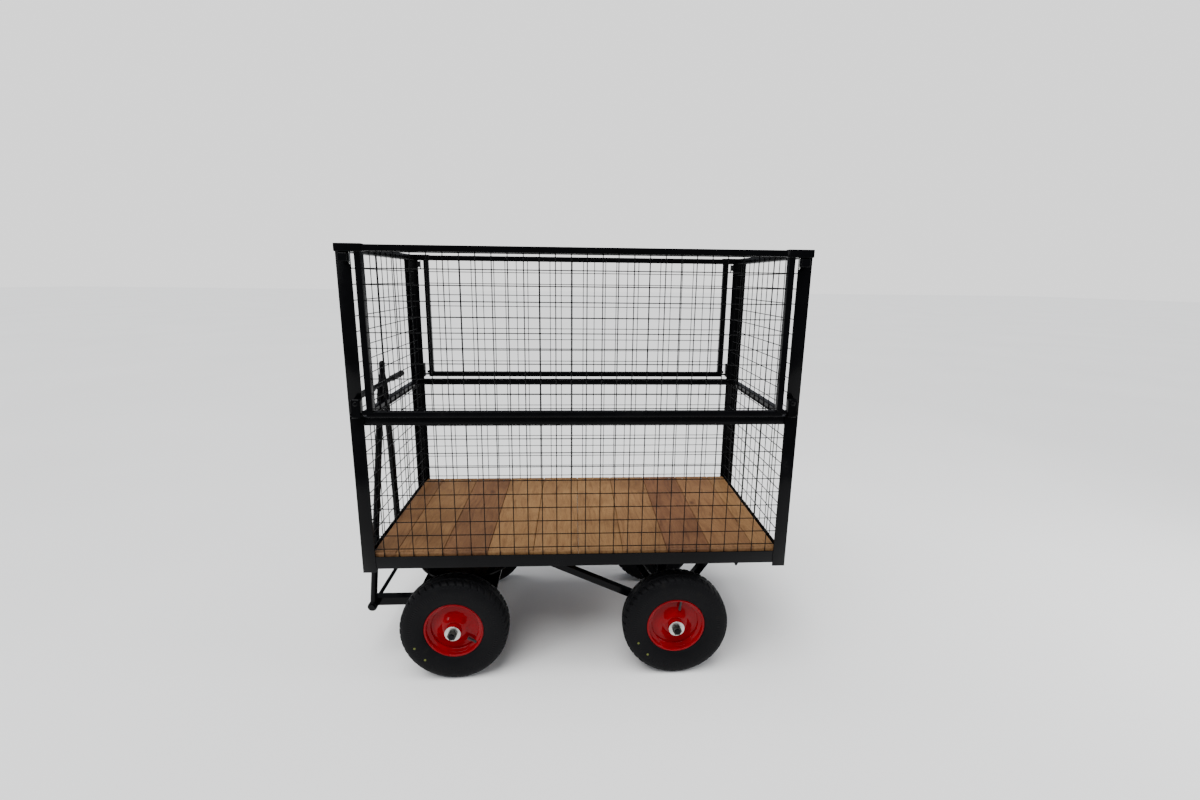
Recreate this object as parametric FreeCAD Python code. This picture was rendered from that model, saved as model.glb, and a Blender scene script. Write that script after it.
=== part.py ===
import FreeCAD, Part
import math
import os

# Turntable garden cart with a plank deck and a welded-mesh cage, in millimetres.
# X runs along the cart with the tow handle at -X, Y across it with the front at -Y, Z up.
# Every size below is measured from the middle of the cage and from the ground;
# save() then moves each piece by ORIGIN_X, so the origin is under the middle of the whole cart.

V = FreeCAD.Vector
X_AXIS = V(1, 0, 0)
Y_AXIS = V(0, 1, 0)
Z_AXIS = V(0, 0, 1)

# cage
HALF_LENGTH = 750.0
HALF_WIDTH = 327.0
ANGLE_LEG = 45.0
ANGLE_WALL = 5.0
POST_FOOT = 447.0
POST_SPLIT = 1011.0
POST_TOP = 1561.0
RAIL_FOOT = 461.0
END_RAIL_LEG = 30.0
MID_TUBE = 25.0
MID_TOP = 1008.0
TUBE_WALL = 2.0
MESH_PITCH = 50.0
WIRE = 3.0
NOTCH_GAP = 0.3
LOWER_MESH_FOOT = 481.5
LOWER_MESH_ROWS = 10
END_MESH_FOOT = 989.0
END_MESH_ROWS = 11
SIDE_MESH_COLUMNS = 29
END_MESH_COLUMNS = 12

# deck
DECK_TOP = 518.0
BOARD_THICK = 18.0
BOARD_WIDTH = 159.0
BOARD_GAP = 1.0
FULL_BOARDS = 8
DECK_SIDE_GAP = 9.0
BEARER_WIDTH = 40.0
DECK_PLAY = 1.0

# drop gates, one on each long side
GATE_TUBE = 20.0
GATE_GAP = 4.0
GATE_HALF = 684.0
GATE_FOOT = 1015.0
GATE_TOP = 1560.0
GATE_MESH_FOOT = 1039.0
GATE_MESH_ROWS = 10
GATE_MESH_COLUMNS = 27
BLOCK_WIDTH = 28.0
BLOCK_DEPTH = 28.0
BLOCK_INNER = 703.0
BLOCK_FOOT = 1014.0
BLOCK_HIGH = 62.0
CATCH_BLOCK_FOOT = 1508.0
CATCH_BLOCK_TOP = 1534.0
CATCH_TUBE = 25.0
CATCH_INNER = 657.0
CATCH_OUTER = 742.0
PIN_RADIUS = 4.0
PIN_PLAY = 0.06
PIN_HEAD = 7.0
PIN_HEAD_THICK = 5.0
PIN_TAIL = 3.0

# wheels
WHEEL_RADIUS = 198.0
TYRE_WIDTH = 92.0
TYRE_WALL = 9.0
BEAD_RADIUS = 103.0
RIM_FLANGE = 111.0
RIM_HALF = 34.0
RIM_SHEET = 3.5
HUB_RADIUS = 28.0
HUB_HALF = 45.0
BEARING_OUTER = 23.5
BEARING_WIDE = 14.0
AXLE_RADIUS = 10.0
AXLE_PLAY = 0.06
HALF_TRACK = 281.0
FRONT_X = -453.0
REAR_X = 365.0
WASHER_RADIUS = 29.0
WASHER_THICK = 3.0
NUT_FLAT = 30.0
NUT_THICK = 14.0
THREAD_TAIL = 3.0
HUB_CLEAR = 1.0
WASHER_GAP = 0.5
AXLE_TUBE = 40.0

# front pedestal, turntable and bogie
PEDESTAL_RADIUS = 205.0
PEDESTAL_FOOT = 326.0
PLATE_THICK = 8.0
PEDESTAL_LEG_Y = 150.0
PEDESTAL_SPREAD_FOOT = 111.0
PEDESTAL_SPREAD_TOP = 171.0
RING_RADIUS = 150.0
RING_BORE = 110.0
RING_GAP = 0.5
BOGIE_PLATE_FOOT = 296.0
BOGIE_PLATE_HALF_X = 145.0
BOGIE_PLATE_HALF_Y = 222.0
KING_RADIUS = 12.0
KING_PLAY = 0.06
KING_HEAD = 20.0
KING_HEAD_THICK = 12.0
KING_TAIL = 4.0
KING_GAP = 1.0
ARM_TUBE = 32.0
ARM_Y = 124.0
ARM_TIP = -818.0
CHEEK_FOOT_HALF = 90.0
CHEEK_TOP_HALF = 130.0

# rear axle hanger
LEG_TUBE = 26.0
REAR_LEG_Y = 185.0
REAR_SPREAD_FOOT = 18.0
REAR_SPREAD_TOP = 190.0
STAY_TUBE = 25.0
STAY_Y = 214.0
STAY_TOP_X = -225.0
STAY_FOOT_X = 330.0

# tow handle, folded up against the cage
PIVOT_X = -801.0
PIVOT_RADIUS = 8.0
PIVOT_PLAY = 0.06
PIVOT_HEAD = 13.0
PIVOT_HEAD_THICK = 5.0
HANDLE_LEG_Y = 157.0
EYE_HALF = 15.0
EYE_PLAY = 1.0
HANDLE_LEG_RADIUS = 12.5
EYE_RADIUS = 18.0
HANDLE_TOP = 1144.0
STEM_FOOT = 1040.0
STEM_RADIUS = 11.0
BRANCH_RADIUS = 9.0
BRANCH_TOP = 1084.0
STEM_START = 1060.0
APEX_Z = 1174.0
GRIP_X = -766.0
GRIP_Z = 1054.0
GRIP_BAR_RADIUS = 9.5
GRIP_CAP = 8.0
GRIP_RADIUS = 13.0
GRIP_START = 96.0
GRIP_END = 216.0

RAIL_TOP = RAIL_FOOT + ANGLE_LEG
AXLE_Z = WHEEL_RADIUS
BEARER_FOOT = RAIL_FOOT + ANGLE_WALL
BEARER_HIGH = DECK_TOP - BOARD_THICK - BEARER_FOOT
PIN_Z = GATE_FOOT + GATE_TUBE / 2
PIN_Y = HALF_WIDTH + GATE_GAP + GATE_TUBE / 2
ORIGIN_X = (PIVOT_X - EYE_RADIUS + HALF_LENGTH) / 2
BEARER_X = (FRONT_X - PEDESTAL_SPREAD_TOP, FRONT_X + PEDESTAL_SPREAD_TOP, STAY_TOP_X,
            REAR_X - REAR_SPREAD_TOP, REAR_X, REAR_X + REAR_SPREAD_TOP)


def save(name, *solids):
    """Write one node; several solids make a group of separate pieces."""
    shape = solids[0] if len(solids) == 1 else Part.makeCompound(list(solids))
    shape.translated(V(-ORIGIN_X, 0, 0)).exportStep("parts/" + name + ".step")


def box(x0, x1, y0, y1, z0, z1):
    low = V(min(x0, x1), min(y0, y1), min(z0, z1))
    return Part.makeBox(abs(x1 - x0), abs(y1 - y0), abs(z1 - z0), low)


def prism(points, run):
    """A closed flat outline pushed along a vector."""
    return Part.Face(Part.makePolygon(points + points[:1])).extrude(run)


def rod(start, end, radius):
    run = end - start
    return Part.makeCylinder(radius, run.Length, start, run)


def strut(start, end, side):
    """A solid square bar from start to end, turned so two faces stay upright."""
    run = end - start
    across = Z_AXIS.cross(run)
    if across.Length < 1e-6:
        across = Y_AXIS
    across = across.normalize() * (side / 2)
    up = V(run).cross(across).normalize() * (side / 2)
    return prism([start + across + up, start - across + up,
                  start - across - up, start + across - up], run)


def tube_x(x0, x1, y, z, side, wall=TUBE_WALL):
    """A square tube along X, centred on y and z."""
    h = side / 2
    outer = box(x0, x1, y - h, y + h, z - h, z + h)
    h = h - wall
    return outer.cut(box(x0, x1, y - h, y + h, z - h, z + h))


def tube_y(y0, y1, x, z, side, wall=TUBE_WALL):
    h = side / 2
    outer = box(x - h, x + h, y0, y1, z - h, z + h)
    h = h - wall
    return outer.cut(box(x - h, x + h, y0, y1, z - h, z + h))


def tube_z(z0, z1, x, y, side, wall=TUBE_WALL):
    h = side / 2
    outer = box(x - h, x + h, y - h, y + h, z0, z1)
    h = h - wall
    return outer.cut(box(x - h, x + h, y - h, y + h, z0, z1))


def grille(corner, columns, rows, column_dir, thick_dir):
    """A flat welded mesh: a sheet one wire thick with a square window between each pair of wires."""
    width = columns * MESH_PITCH + WIRE
    height = rows * MESH_PITCH + WIRE
    sheet = prism([corner, corner + column_dir * width,
                   corner + column_dir * width + Z_AXIS * height,
                   corner + Z_AXIS * height], thick_dir * WIRE)
    opening = MESH_PITCH - WIRE
    windows = []
    for i in range(columns):
        for j in range(rows):
            low = corner + column_dir * (WIRE + i * MESH_PITCH) + Z_AXIS * (WIRE + j * MESH_PITCH)
            windows.append(prism([low, low + column_dir * opening,
                                  low + column_dir * opening + Z_AXIS * opening,
                                  low + Z_AXIS * opening], thick_dir * WIRE))
    return sheet.cut(Part.makeCompound(windows))


def rails():
    """Angle-iron frame round the deck, its level leg at the foot and pointing inwards."""
    foot = RAIL_FOOT + ANGLE_WALL
    for side, name in ((-1, "side_rail_front"), (1, "side_rail_rear")):
        outline = [V(0, side * y, z) for y, z in (
            (HALF_WIDTH, RAIL_FOOT), (HALF_WIDTH, RAIL_TOP), (HALF_WIDTH - ANGLE_WALL, RAIL_TOP),
            (HALF_WIDTH - ANGLE_WALL, foot), (HALF_WIDTH - ANGLE_LEG, foot),
            (HALF_WIDTH - ANGLE_LEG, RAIL_FOOT))]
        half = HALF_LENGTH - ANGLE_LEG
        save(name, prism([p - X_AXIS * half for p in outline], X_AXIS * (2 * half)))
    for side, name in ((-1, "end_rail_left"), (1, "end_rail_right")):
        outline = [V(side * x, 0, z) for x, z in (
            (HALF_LENGTH, RAIL_FOOT), (HALF_LENGTH, RAIL_FOOT + END_RAIL_LEG),
            (HALF_LENGTH - ANGLE_WALL, RAIL_FOOT + END_RAIL_LEG),
            (HALF_LENGTH - ANGLE_WALL, foot), (HALF_LENGTH - ANGLE_LEG, foot),
            (HALF_LENGTH - ANGLE_LEG, RAIL_FOOT))]
        half = HALF_WIDTH - ANGLE_LEG
        save(name, prism([p - Y_AXIS * half for p in outline], Y_AXIS * (2 * half)))


def corner_post(side_x, side_y, foot, top):
    """A length of angle standing on end, wrapped round one corner of the cage."""
    outline = [V(side_x * x, side_y * y, foot) for x, y in (
        (HALF_LENGTH, HALF_WIDTH), (HALF_LENGTH - ANGLE_LEG, HALF_WIDTH),
        (HALF_LENGTH - ANGLE_LEG, HALF_WIDTH - ANGLE_WALL),
        (HALF_LENGTH - ANGLE_WALL, HALF_WIDTH - ANGLE_WALL),
        (HALF_LENGTH - ANGLE_WALL, HALF_WIDTH - ANGLE_LEG),
        (HALF_LENGTH, HALF_WIDTH - ANGLE_LEG))]
    return prism(outline, Z_AXIS * (top - foot))


def posts():
    for side_x, end in ((-1, "left"), (1, "right")):
        lower = [corner_post(side_x, side_y, POST_FOOT, POST_SPLIT) for side_y in (-1, 1)]
        save("lower_posts_" + end, *lower)
        upper = [corner_post(side_x, side_y, POST_SPLIT, POST_TOP) for side_y in (-1, 1)]
        half = HALF_WIDTH - ANGLE_WALL
        top_rail = tube_y(-half, half, side_x * (HALF_LENGTH - ANGLE_WALL - MID_TUBE / 2),
                          POST_TOP - MID_TUBE / 2, MID_TUBE)
        save("upper_end_frame_" + end, upper[0], upper[1], top_rail)


def mid_rails():
    """Square tubes that tie the four lower posts together half way up."""
    z = MID_TOP - MID_TUBE / 2
    half_x = HALF_LENGTH - ANGLE_WALL
    y = HALF_WIDTH - ANGLE_WALL - MID_TUBE / 2
    half_y = HALF_WIDTH - ANGLE_WALL - MID_TUBE
    for side, face in ((-1, "front"), (1, "rear")):
        save("mid_rail_" + face, tube_x(-half_x, half_x, side * y, z, MID_TUBE))
    x = HALF_LENGTH - ANGLE_WALL - MID_TUBE / 2
    for side, end in ((-1, "left"), (1, "right")):
        save("mid_rail_" + end, tube_y(-half_y, half_y, side * x, z, MID_TUBE))


def mid_rail_notches():
    """The room that the two long mid rails take, so the end panels stop against them."""
    inner = HALF_WIDTH - ANGLE_WALL - MID_TUBE - NOTCH_GAP
    return [box(-HALF_LENGTH, HALF_LENGTH, side * inner, side * HALF_WIDTH,
                MID_TOP - MID_TUBE - NOTCH_GAP, MID_TOP + NOTCH_GAP) for side in (-1, 1)]


def cage_mesh():
    """Mesh panels behind the posts on the long sides, and inside the tubes at the ends."""
    for side, face in ((-1, "front"), (1, "rear")):
        corner = V(-(SIDE_MESH_COLUMNS * MESH_PITCH + WIRE) / 2, side * (HALF_WIDTH - ANGLE_WALL),
                   LOWER_MESH_FOOT - WIRE / 2)
        save("lower_mesh_" + face, grille(corner, SIDE_MESH_COLUMNS, LOWER_MESH_ROWS, X_AXIS, Y_AXIS * -side))
    inner = HALF_LENGTH - ANGLE_WALL - MID_TUBE
    for side, end in ((-1, "left"), (1, "right")):
        for name, foot, rows in (("lower_mesh_", LOWER_MESH_FOOT, LOWER_MESH_ROWS),
                                 ("upper_mesh_", END_MESH_FOOT, END_MESH_ROWS)):
            corner = V(side * inner, -(END_MESH_COLUMNS * MESH_PITCH + WIRE) / 2, foot - WIRE / 2)
            panel = grille(corner, END_MESH_COLUMNS, rows, Y_AXIS, X_AXIS * -side)
            save(name + end, panel.cut(Part.makeCompound(mid_rail_notches())))


def deck():
    """Planks that run across the cart, on box-section bearers that sit in the angle frame."""
    bearer_half = HALF_WIDTH - ANGLE_WALL - WIRE - DECK_PLAY
    bearers = []
    for x in BEARER_X:
        outer = box(x - BEARER_WIDTH / 2, x + BEARER_WIDTH / 2, -bearer_half, bearer_half,
                    BEARER_FOOT, BEARER_FOOT + BEARER_HIGH)
        half = BEARER_WIDTH / 2 - TUBE_WALL
        inside = box(x - half, x + half, -bearer_half, bearer_half,
                     BEARER_FOOT + TUBE_WALL, BEARER_FOOT + BEARER_HIGH - TUBE_WALL)
        bearers.append(outer.cut(inside))
    save("deck_bearers", *bearers)
    half_y = HALF_WIDTH - DECK_SIDE_GAP
    edge = HALF_LENGTH - ANGLE_WALL - MID_TUBE - WIRE - DECK_PLAY
    seams = [(i - FULL_BOARDS / 2) * BOARD_WIDTH for i in range(FULL_BOARDS + 1)]
    stops = [-edge] + seams + [edge]
    boards = [box(a + BOARD_GAP / 2, b - BOARD_GAP / 2, -half_y, half_y, DECK_TOP - BOARD_THICK, DECK_TOP)
              for a, b in zip(stops, stops[1:])]
    save("deck_boards", *boards)


def gate_panel(side, face):
    """Tube frame of a drop gate, and the mesh welded to its inner faces."""
    y = side * PIN_Y
    h = GATE_TUBE / 2
    low = tube_x(-GATE_HALF, GATE_HALF, y, GATE_FOOT + h, GATE_TUBE)
    high = tube_x(-GATE_HALF, GATE_HALF, y, GATE_TOP - h, GATE_TUBE)
    stiles = [tube_z(GATE_FOOT + GATE_TUBE, GATE_TOP - GATE_TUBE, s * (GATE_HALF - h), y, GATE_TUBE)
              for s in (-1, 1)]
    save("gate_" + face + "_frame", low, high, *stiles)
    half = (GATE_MESH_COLUMNS * MESH_PITCH + WIRE) / 2
    corner = V(-half, side * (PIN_Y - h), GATE_MESH_FOOT - WIRE / 2)
    mesh = grille(corner, GATE_MESH_COLUMNS, GATE_MESH_ROWS, X_AXIS, Y_AXIS * -side)
    save("gate_" + face + "_mesh", mesh)


def gate_pins(side, face):
    """A headed hinge pin at each end of the gate's foot."""
    pins = []
    for s in (-1, 1):
        start = V(s * GATE_HALF, side * PIN_Y, PIN_Z)
        end = V(s * (BLOCK_INNER + BLOCK_WIDTH + PIN_TAIL), side * PIN_Y, PIN_Z)
        head = rod(end, end + X_AXIS * (s * PIN_HEAD_THICK), PIN_HEAD)
        pins.append(rod(start, end, PIN_RADIUS).fuse(head).removeSplitter())
    save("gate_" + face + "_hinge_pins", *pins)


def gate_catches(side, face):
    """A sleeve on each top corner of the gate, cut clear of its tubes and of its mesh."""
    y = side * PIN_Y
    h = GATE_TUBE / 2
    z = GATE_TOP - h
    reach = CATCH_TUBE / 2
    panel_half = (GATE_MESH_COLUMNS * MESH_PITCH + WIRE) / 2 + NOTCH_GAP
    panel_top = GATE_MESH_FOOT + GATE_MESH_ROWS * MESH_PITCH + WIRE / 2 + NOTCH_GAP
    panel_room = box(-panel_half, panel_half, side * (HALF_WIDTH - WIRE), side * (PIN_Y - h),
                     GATE_MESH_FOOT, panel_top)
    catches = []
    for s in (-1, 1):
        sleeve = box(s * CATCH_INNER, s * CATCH_OUTER, y - reach, y + reach, z - reach, z + reach)
        bore = box(s * CATCH_INNER, s * GATE_HALF, y - h, y + h, z - h, z + h)
        stile = box(s * GATE_HALF, s * (GATE_HALF - GATE_TUBE), y - h, y + h, GATE_FOOT, GATE_TOP)
        catches.append(sleeve.cut(Part.makeCompound([bore, stile])).cut(panel_room))
    save("gate_" + face + "_catches", *catches)


def post_blocks():
    """Bored hinge blocks low on the upper posts, and the blocks that the gate catches rest on."""
    hinge_blocks = []
    catch_blocks = []
    for side_y in (-1, 1):
        for side_x in (-1, 1):
            span = (side_x * BLOCK_INNER, side_x * (BLOCK_INNER + BLOCK_WIDTH),
                    side_y * HALF_WIDTH, side_y * (HALF_WIDTH + BLOCK_DEPTH))
            block = box(*span, BLOCK_FOOT, BLOCK_FOOT + BLOCK_HIGH)
            start = V(span[0] - side_x, side_y * PIN_Y, PIN_Z)
            end = V(span[1] + side_x, side_y * PIN_Y, PIN_Z)
            hole = rod(start, end, PIN_RADIUS + PIN_PLAY)
            hinge_blocks.append(block.cut(hole))
            catch_blocks.append(box(*span, CATCH_BLOCK_FOOT, CATCH_BLOCK_TOP))
    save("hinge_blocks", *hinge_blocks)
    save("catch_blocks", *catch_blocks)


def revolve_y(points, x, y, z, flip):
    """Turn an outline of (radius, offset along the axle) about the wheel's axle."""
    wire = Part.makePolygon([V(0, flip * o, r) for r, o in points + points[:1]])
    turned = Part.Face(wire).revolve(V(0, 0, 0), Y_AXIS, 360)
    turned.translate(V(x, y, z))
    return turned


def tyre(x, y, flip):
    """A hollow tyre: rounded side walls, flat tread, and two beads that sit on the rim."""
    half = TYRE_WIDTH / 2
    outline = [(BEAD_RADIUS, RIM_HALF - 4.0), (BEAD_RADIUS, RIM_HALF - 13.0)]
    inside = [(125.0, half - TYRE_WALL - 7.0), (150.0, half - TYRE_WALL),
              (172.0, half - TYRE_WALL - 3.0), (WHEEL_RADIUS - 14.0, half - 22.0)]
    outside = [(WHEEL_RADIUS, half - 26.0), (WHEEL_RADIUS - 3.0, half - 14.0),
               (WHEEL_RADIUS - 12.0, half - 5.0), (WHEEL_RADIUS - 27.0, half - 0.5),
               (WHEEL_RADIUS - 42.0, half), (140.0, half - 2.0), (124.0, half - 6.0),
               (RIM_FLANGE + 3.0, RIM_HALF + 0.5), (RIM_FLANGE + 1.0, RIM_HALF - 4.0)]
    right = outline + inside
    left = [(r, -o) for r, o in reversed(right)]
    shell = right + left
    skin = [(r, -o) for r, o in reversed(outside)] + outside
    shell.reverse()
    return revolve_y(shell + list(reversed(skin)), x, y, AXLE_Z, flip)


def rim(x, y, flip):
    """A pressed rim: two flanges, a dropped centre, a dished disc and the hub tube welded in it."""
    h = RIM_HALF
    t = RIM_SHEET
    band = [(RIM_FLANGE, h), (BEAD_RADIUS - t, h), (BEAD_RADIUS - t, h - 15.0), (85.0, h - 19.0),
            (85.0, -h + 19.0), (BEAD_RADIUS - t, -h + 15.0), (BEAD_RADIUS - t, -h), (RIM_FLANGE, -h),
            (RIM_FLANGE, -h + t), (BEAD_RADIUS - 0.3, -h + t), (BEAD_RADIUS - 0.3, -h + 16.0),
            (85.0 + t, -h + 22.0), (85.0 + t, h - 22.0), (BEAD_RADIUS - 0.3, h - 16.0),
            (BEAD_RADIUS - 0.3, h - t), (RIM_FLANGE, h - t)]
    disc = [(HUB_RADIUS, 26.0), (44.0, 26.0), (58.0, 12.0), (85.5, 8.0), (85.5, 8.0 - t),
            (57.0, 12.0 - t - 1.0), (43.0, 26.0 - t - 1.0), (HUB_RADIUS, 26.0 - t)]
    hub = [(BEARING_OUTER, HUB_HALF), (HUB_RADIUS + 0.5, HUB_HALF), (HUB_RADIUS + 0.5, -HUB_HALF),
           (BEARING_OUTER, -HUB_HALF)]
    pieces = [revolve_y(p, x, y, AXLE_Z, flip) for p in (band, disc, hub)]
    return pieces[0].fuse(pieces[1:]).removeSplitter()


def bearings(x, y):
    """Two ball races pressed into the ends of the hub, as plain rings with a running bore."""
    bore = AXLE_RADIUS + AXLE_PLAY
    rings = []
    for side in (-1, 1):
        a = side * HUB_HALF
        b = side * (HUB_HALF - BEARING_WIDE)
        outline = [(bore, a), (BEARING_OUTER, a), (BEARING_OUTER, b), (bore, b)]
        rings.append(revolve_y(outline, x, y, AXLE_Z, 1))
    return rings


def wheels():
    for x, end in ((FRONT_X, "front"), (REAR_X, "rear")):
        for side, hand in ((-1, "near"), (1, "far")):
            y = side * HALF_TRACK
            name = "wheel_" + end + "_" + hand
            save(name + "_tyre", tyre(x, y, side))
            save(name + "_rim", rim(x, y, side))
            save(name + "_bearings", *bearings(x, y))


def axle(x, prefix):
    """Square beam between the wheels with a round stub at each end, and its washers and nuts."""
    inner = HALF_TRACK - HUB_HALF - HUB_CLEAR
    tip = HALF_TRACK + HUB_HALF + HUB_CLEAR + WASHER_THICK + NUT_THICK + THREAD_TAIL
    h = AXLE_TUBE / 2
    beam = box(x - h, x + h, -inner, inner, AXLE_Z - h, AXLE_Z + h)
    shaft = rod(V(x, -tip, AXLE_Z), V(x, tip, AXLE_Z), AXLE_RADIUS)
    save(prefix + "_axle", beam.fuse(shaft).removeSplitter())
    washers = []
    nuts = []
    for side in (-1, 1):
        a = V(x, side * (HALF_TRACK + HUB_HALF + WASHER_GAP), AXLE_Z)
        b = a + Y_AXIS * (side * WASHER_THICK)
        hole = rod(a - Y_AXIS * side, b + Y_AXIS * (side * 2 * NUT_THICK), AXLE_RADIUS)
        washers.append(rod(a, b, WASHER_RADIUS).cut(hole))
        corner = NUT_FLAT / math.sqrt(3)
        hexagon = [b + V(corner * math.cos(math.radians(60 * i)), 0, corner * math.sin(math.radians(60 * i)))
                   for i in range(6)]
        nuts.append(prism(hexagon, Y_AXIS * (side * NUT_THICK)).cut(hole))
    save(prefix + "_axle_washers", *washers)
    save(prefix + "_axle_nuts", *nuts)


def raked_leg(x_foot, x_head, y, z_foot, z_head, side):
    """A square bar that leans along X, cut off level at both ends."""
    lean = V(x_head - x_foot, 0, z_head - z_foot)
    extra = lean * (side / lean.Length)
    bar = strut(V(x_foot, y, z_foot) - extra, V(x_head, y, z_head) + extra, side)
    return bar.common(box(x_foot - HALF_LENGTH, x_foot + HALF_LENGTH, y - side, y + side, z_foot, z_head))


def rear_hanger():
    """Raked legs and a middle upright over the rear axle, and a long stay on each side."""
    foot = AXLE_Z + AXLE_TUBE / 2
    legs = [raked_leg(REAR_X + reach * REAR_SPREAD_FOOT, REAR_X + reach * REAR_SPREAD_TOP,
                      side * REAR_LEG_Y, foot, BEARER_FOOT, LEG_TUBE)
            for side in (-1, 1) for reach in (-1, 1)]
    upright = tube_z(foot, BEARER_FOOT, REAR_X, 0, AXLE_TUBE)
    save("rear_axle_legs", *legs, upright)
    stays = []
    for side in (-1, 1):
        start = V(STAY_FOOT_X, side * STAY_Y, AXLE_Z + STAY_TUBE / 2)
        lean = V(STAY_TOP_X, side * STAY_Y, BEARER_FOOT) - start
        bar = strut(start - lean * 0.1, start + lean * 1.1, STAY_TUBE)
        keep = box(-HALF_LENGTH, REAR_X - AXLE_TUBE / 2, -HALF_WIDTH, HALF_WIDTH, 0, BEARER_FOOT)
        stays.append(bar.common(keep))
    save("rear_axle_stays", *stays)


def disc(radius, bore, z0, z1):
    """A flat ring centred on the king bolt."""
    plate = Part.makeCylinder(radius, z1 - z0, V(FRONT_X, 0, z0))
    return plate.cut(Part.makeCylinder(bore, z1 - z0, V(FRONT_X, 0, z0))) if bore else plate


def pedestal():
    """Raked legs from the deck to the fixed turntable plate, and the king bolt through it."""
    top = PEDESTAL_FOOT + PLATE_THICK
    legs = [raked_leg(FRONT_X + reach * PEDESTAL_SPREAD_FOOT, FRONT_X + reach * PEDESTAL_SPREAD_TOP,
                      side * PEDESTAL_LEG_Y, top, BEARER_FOOT, LEG_TUBE)
            for side in (-1, 1) for reach in (-1, 1)]
    save("pedestal_legs", *legs)
    save("turntable_plate", disc(PEDESTAL_RADIUS, KING_RADIUS, PEDESTAL_FOOT, top))
    nut_top = BOGIE_PLATE_FOOT - KING_GAP
    nut_foot = nut_top - KING_HEAD_THICK
    bolt = disc(KING_RADIUS, 0, nut_foot - KING_TAIL, top + KING_HEAD_THICK)
    bolt = bolt.fuse([disc(KING_HEAD, 0, top, top + KING_HEAD_THICK), disc(KING_HEAD, 0, nut_foot, nut_top)])
    save("king_bolt", bolt.removeSplitter())


def bogie():
    """The steering half: plate and ring, side cheeks, drawbar arms and the handle's pivot rod."""
    plate_top = BOGIE_PLATE_FOOT + PLATE_THICK
    plate = box(FRONT_X - BOGIE_PLATE_HALF_X, FRONT_X + BOGIE_PLATE_HALF_X,
                -BOGIE_PLATE_HALF_Y, BOGIE_PLATE_HALF_Y, BOGIE_PLATE_FOOT, plate_top)
    hole = disc(KING_RADIUS + KING_PLAY, 0, BOGIE_PLATE_FOOT - 1, plate_top + 1)
    save("bogie_plate", plate.cut(hole))
    save("turntable_ring", disc(RING_RADIUS, RING_BORE, plate_top, PEDESTAL_FOOT - RING_GAP))
    arm_top = AXLE_Z + ARM_TUBE / 2
    cheeks = []
    arms = []
    tail = FRONT_X - AXLE_TUBE / 2
    for side in (-1, 1):
        y = side * ARM_Y - PLATE_THICK / 2
        outline = [V(FRONT_X + x, y, z) for x, z in (
            (-CHEEK_FOOT_HALF, arm_top), (-AXLE_TUBE / 2, arm_top),
            (-AXLE_TUBE / 2, AXLE_Z + AXLE_TUBE / 2), (AXLE_TUBE / 2, AXLE_Z + AXLE_TUBE / 2),
            (CHEEK_TOP_HALF, BOGIE_PLATE_FOOT), (-CHEEK_TOP_HALF, BOGIE_PLATE_FOOT))]
        cheeks.append(prism(outline, Y_AXIS * PLATE_THICK))
        bore = rod(V(PIVOT_X, side * (ARM_Y - ARM_TUBE), AXLE_Z),
                   V(PIVOT_X, side * (ARM_Y + ARM_TUBE), AXLE_Z), PIVOT_RADIUS)
        arms.append(tube_x(ARM_TIP, tail, side * ARM_Y, AXLE_Z, ARM_TUBE).cut(bore))
    save("bogie_cheeks", *cheeks)
    save("drawbar_arms", *arms)
    end = HANDLE_LEG_Y + EYE_HALF + EYE_PLAY
    pin = rod(V(PIVOT_X, -end, AXLE_Z), V(PIVOT_X, end, AXLE_Z), PIVOT_RADIUS)
    heads = [rod(V(PIVOT_X, s * end, AXLE_Z), V(PIVOT_X, s * (end + PIVOT_HEAD_THICK), AXLE_Z), PIVOT_HEAD)
             for s in (-1, 1)]
    save("handle_pivot_rod", pin.fuse(heads).removeSplitter())


def handle_point(y, z):
    """A point in the handle's leaning plane."""
    lean = (GRIP_X - PIVOT_X) / (GRIP_Z - AXLE_Z)
    return V(PIVOT_X + lean * (z - AXLE_Z), y, z)


def handle():
    """An A-shaped tow handle: two legs on a common pivot, a stem at the top and a cross grip."""
    pieces = []
    spread = HANDLE_LEG_Y * (APEX_Z - STEM_FOOT) / (APEX_Z - AXLE_Z)
    for side in (-1, 1):
        y = side * HANDLE_LEG_Y
        knee = handle_point(side * spread, STEM_FOOT)
        eye = rod(V(PIVOT_X, y - EYE_HALF, AXLE_Z), V(PIVOT_X, y + EYE_HALF, AXLE_Z), EYE_RADIUS)
        pieces.append(eye)
        pieces.append(rod(handle_point(y, AXLE_Z), knee, HANDLE_LEG_RADIUS))
        pieces.append(rod(knee, handle_point(0, BRANCH_TOP), BRANCH_RADIUS))
    pieces.append(rod(handle_point(0, STEM_START), handle_point(0, HANDLE_TOP), STEM_RADIUS))
    end = GRIP_END - GRIP_CAP
    pieces.append(rod(handle_point(-end, GRIP_Z), handle_point(end, GRIP_Z), GRIP_BAR_RADIUS))
    frame = pieces[0]
    for piece in pieces[1:]:
        frame = frame.fuse(piece)
    hole = rod(V(PIVOT_X, -HALF_WIDTH, AXLE_Z), V(PIVOT_X, HALF_WIDTH, AXLE_Z), PIVOT_RADIUS + PIVOT_PLAY)
    save("handle_frame", frame.cut(hole))
    grips = []
    for side in (-1, 1):
        near = handle_point(side * GRIP_START, GRIP_Z)
        far = handle_point(side * GRIP_END, GRIP_Z)
        sleeve = rod(near, far, GRIP_RADIUS)
        bar = rod(handle_point(0, GRIP_Z), handle_point(side * end, GRIP_Z), GRIP_BAR_RADIUS)
        grips.append(sleeve.cut(bar))
    save("handle_grips", *grips)


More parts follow.
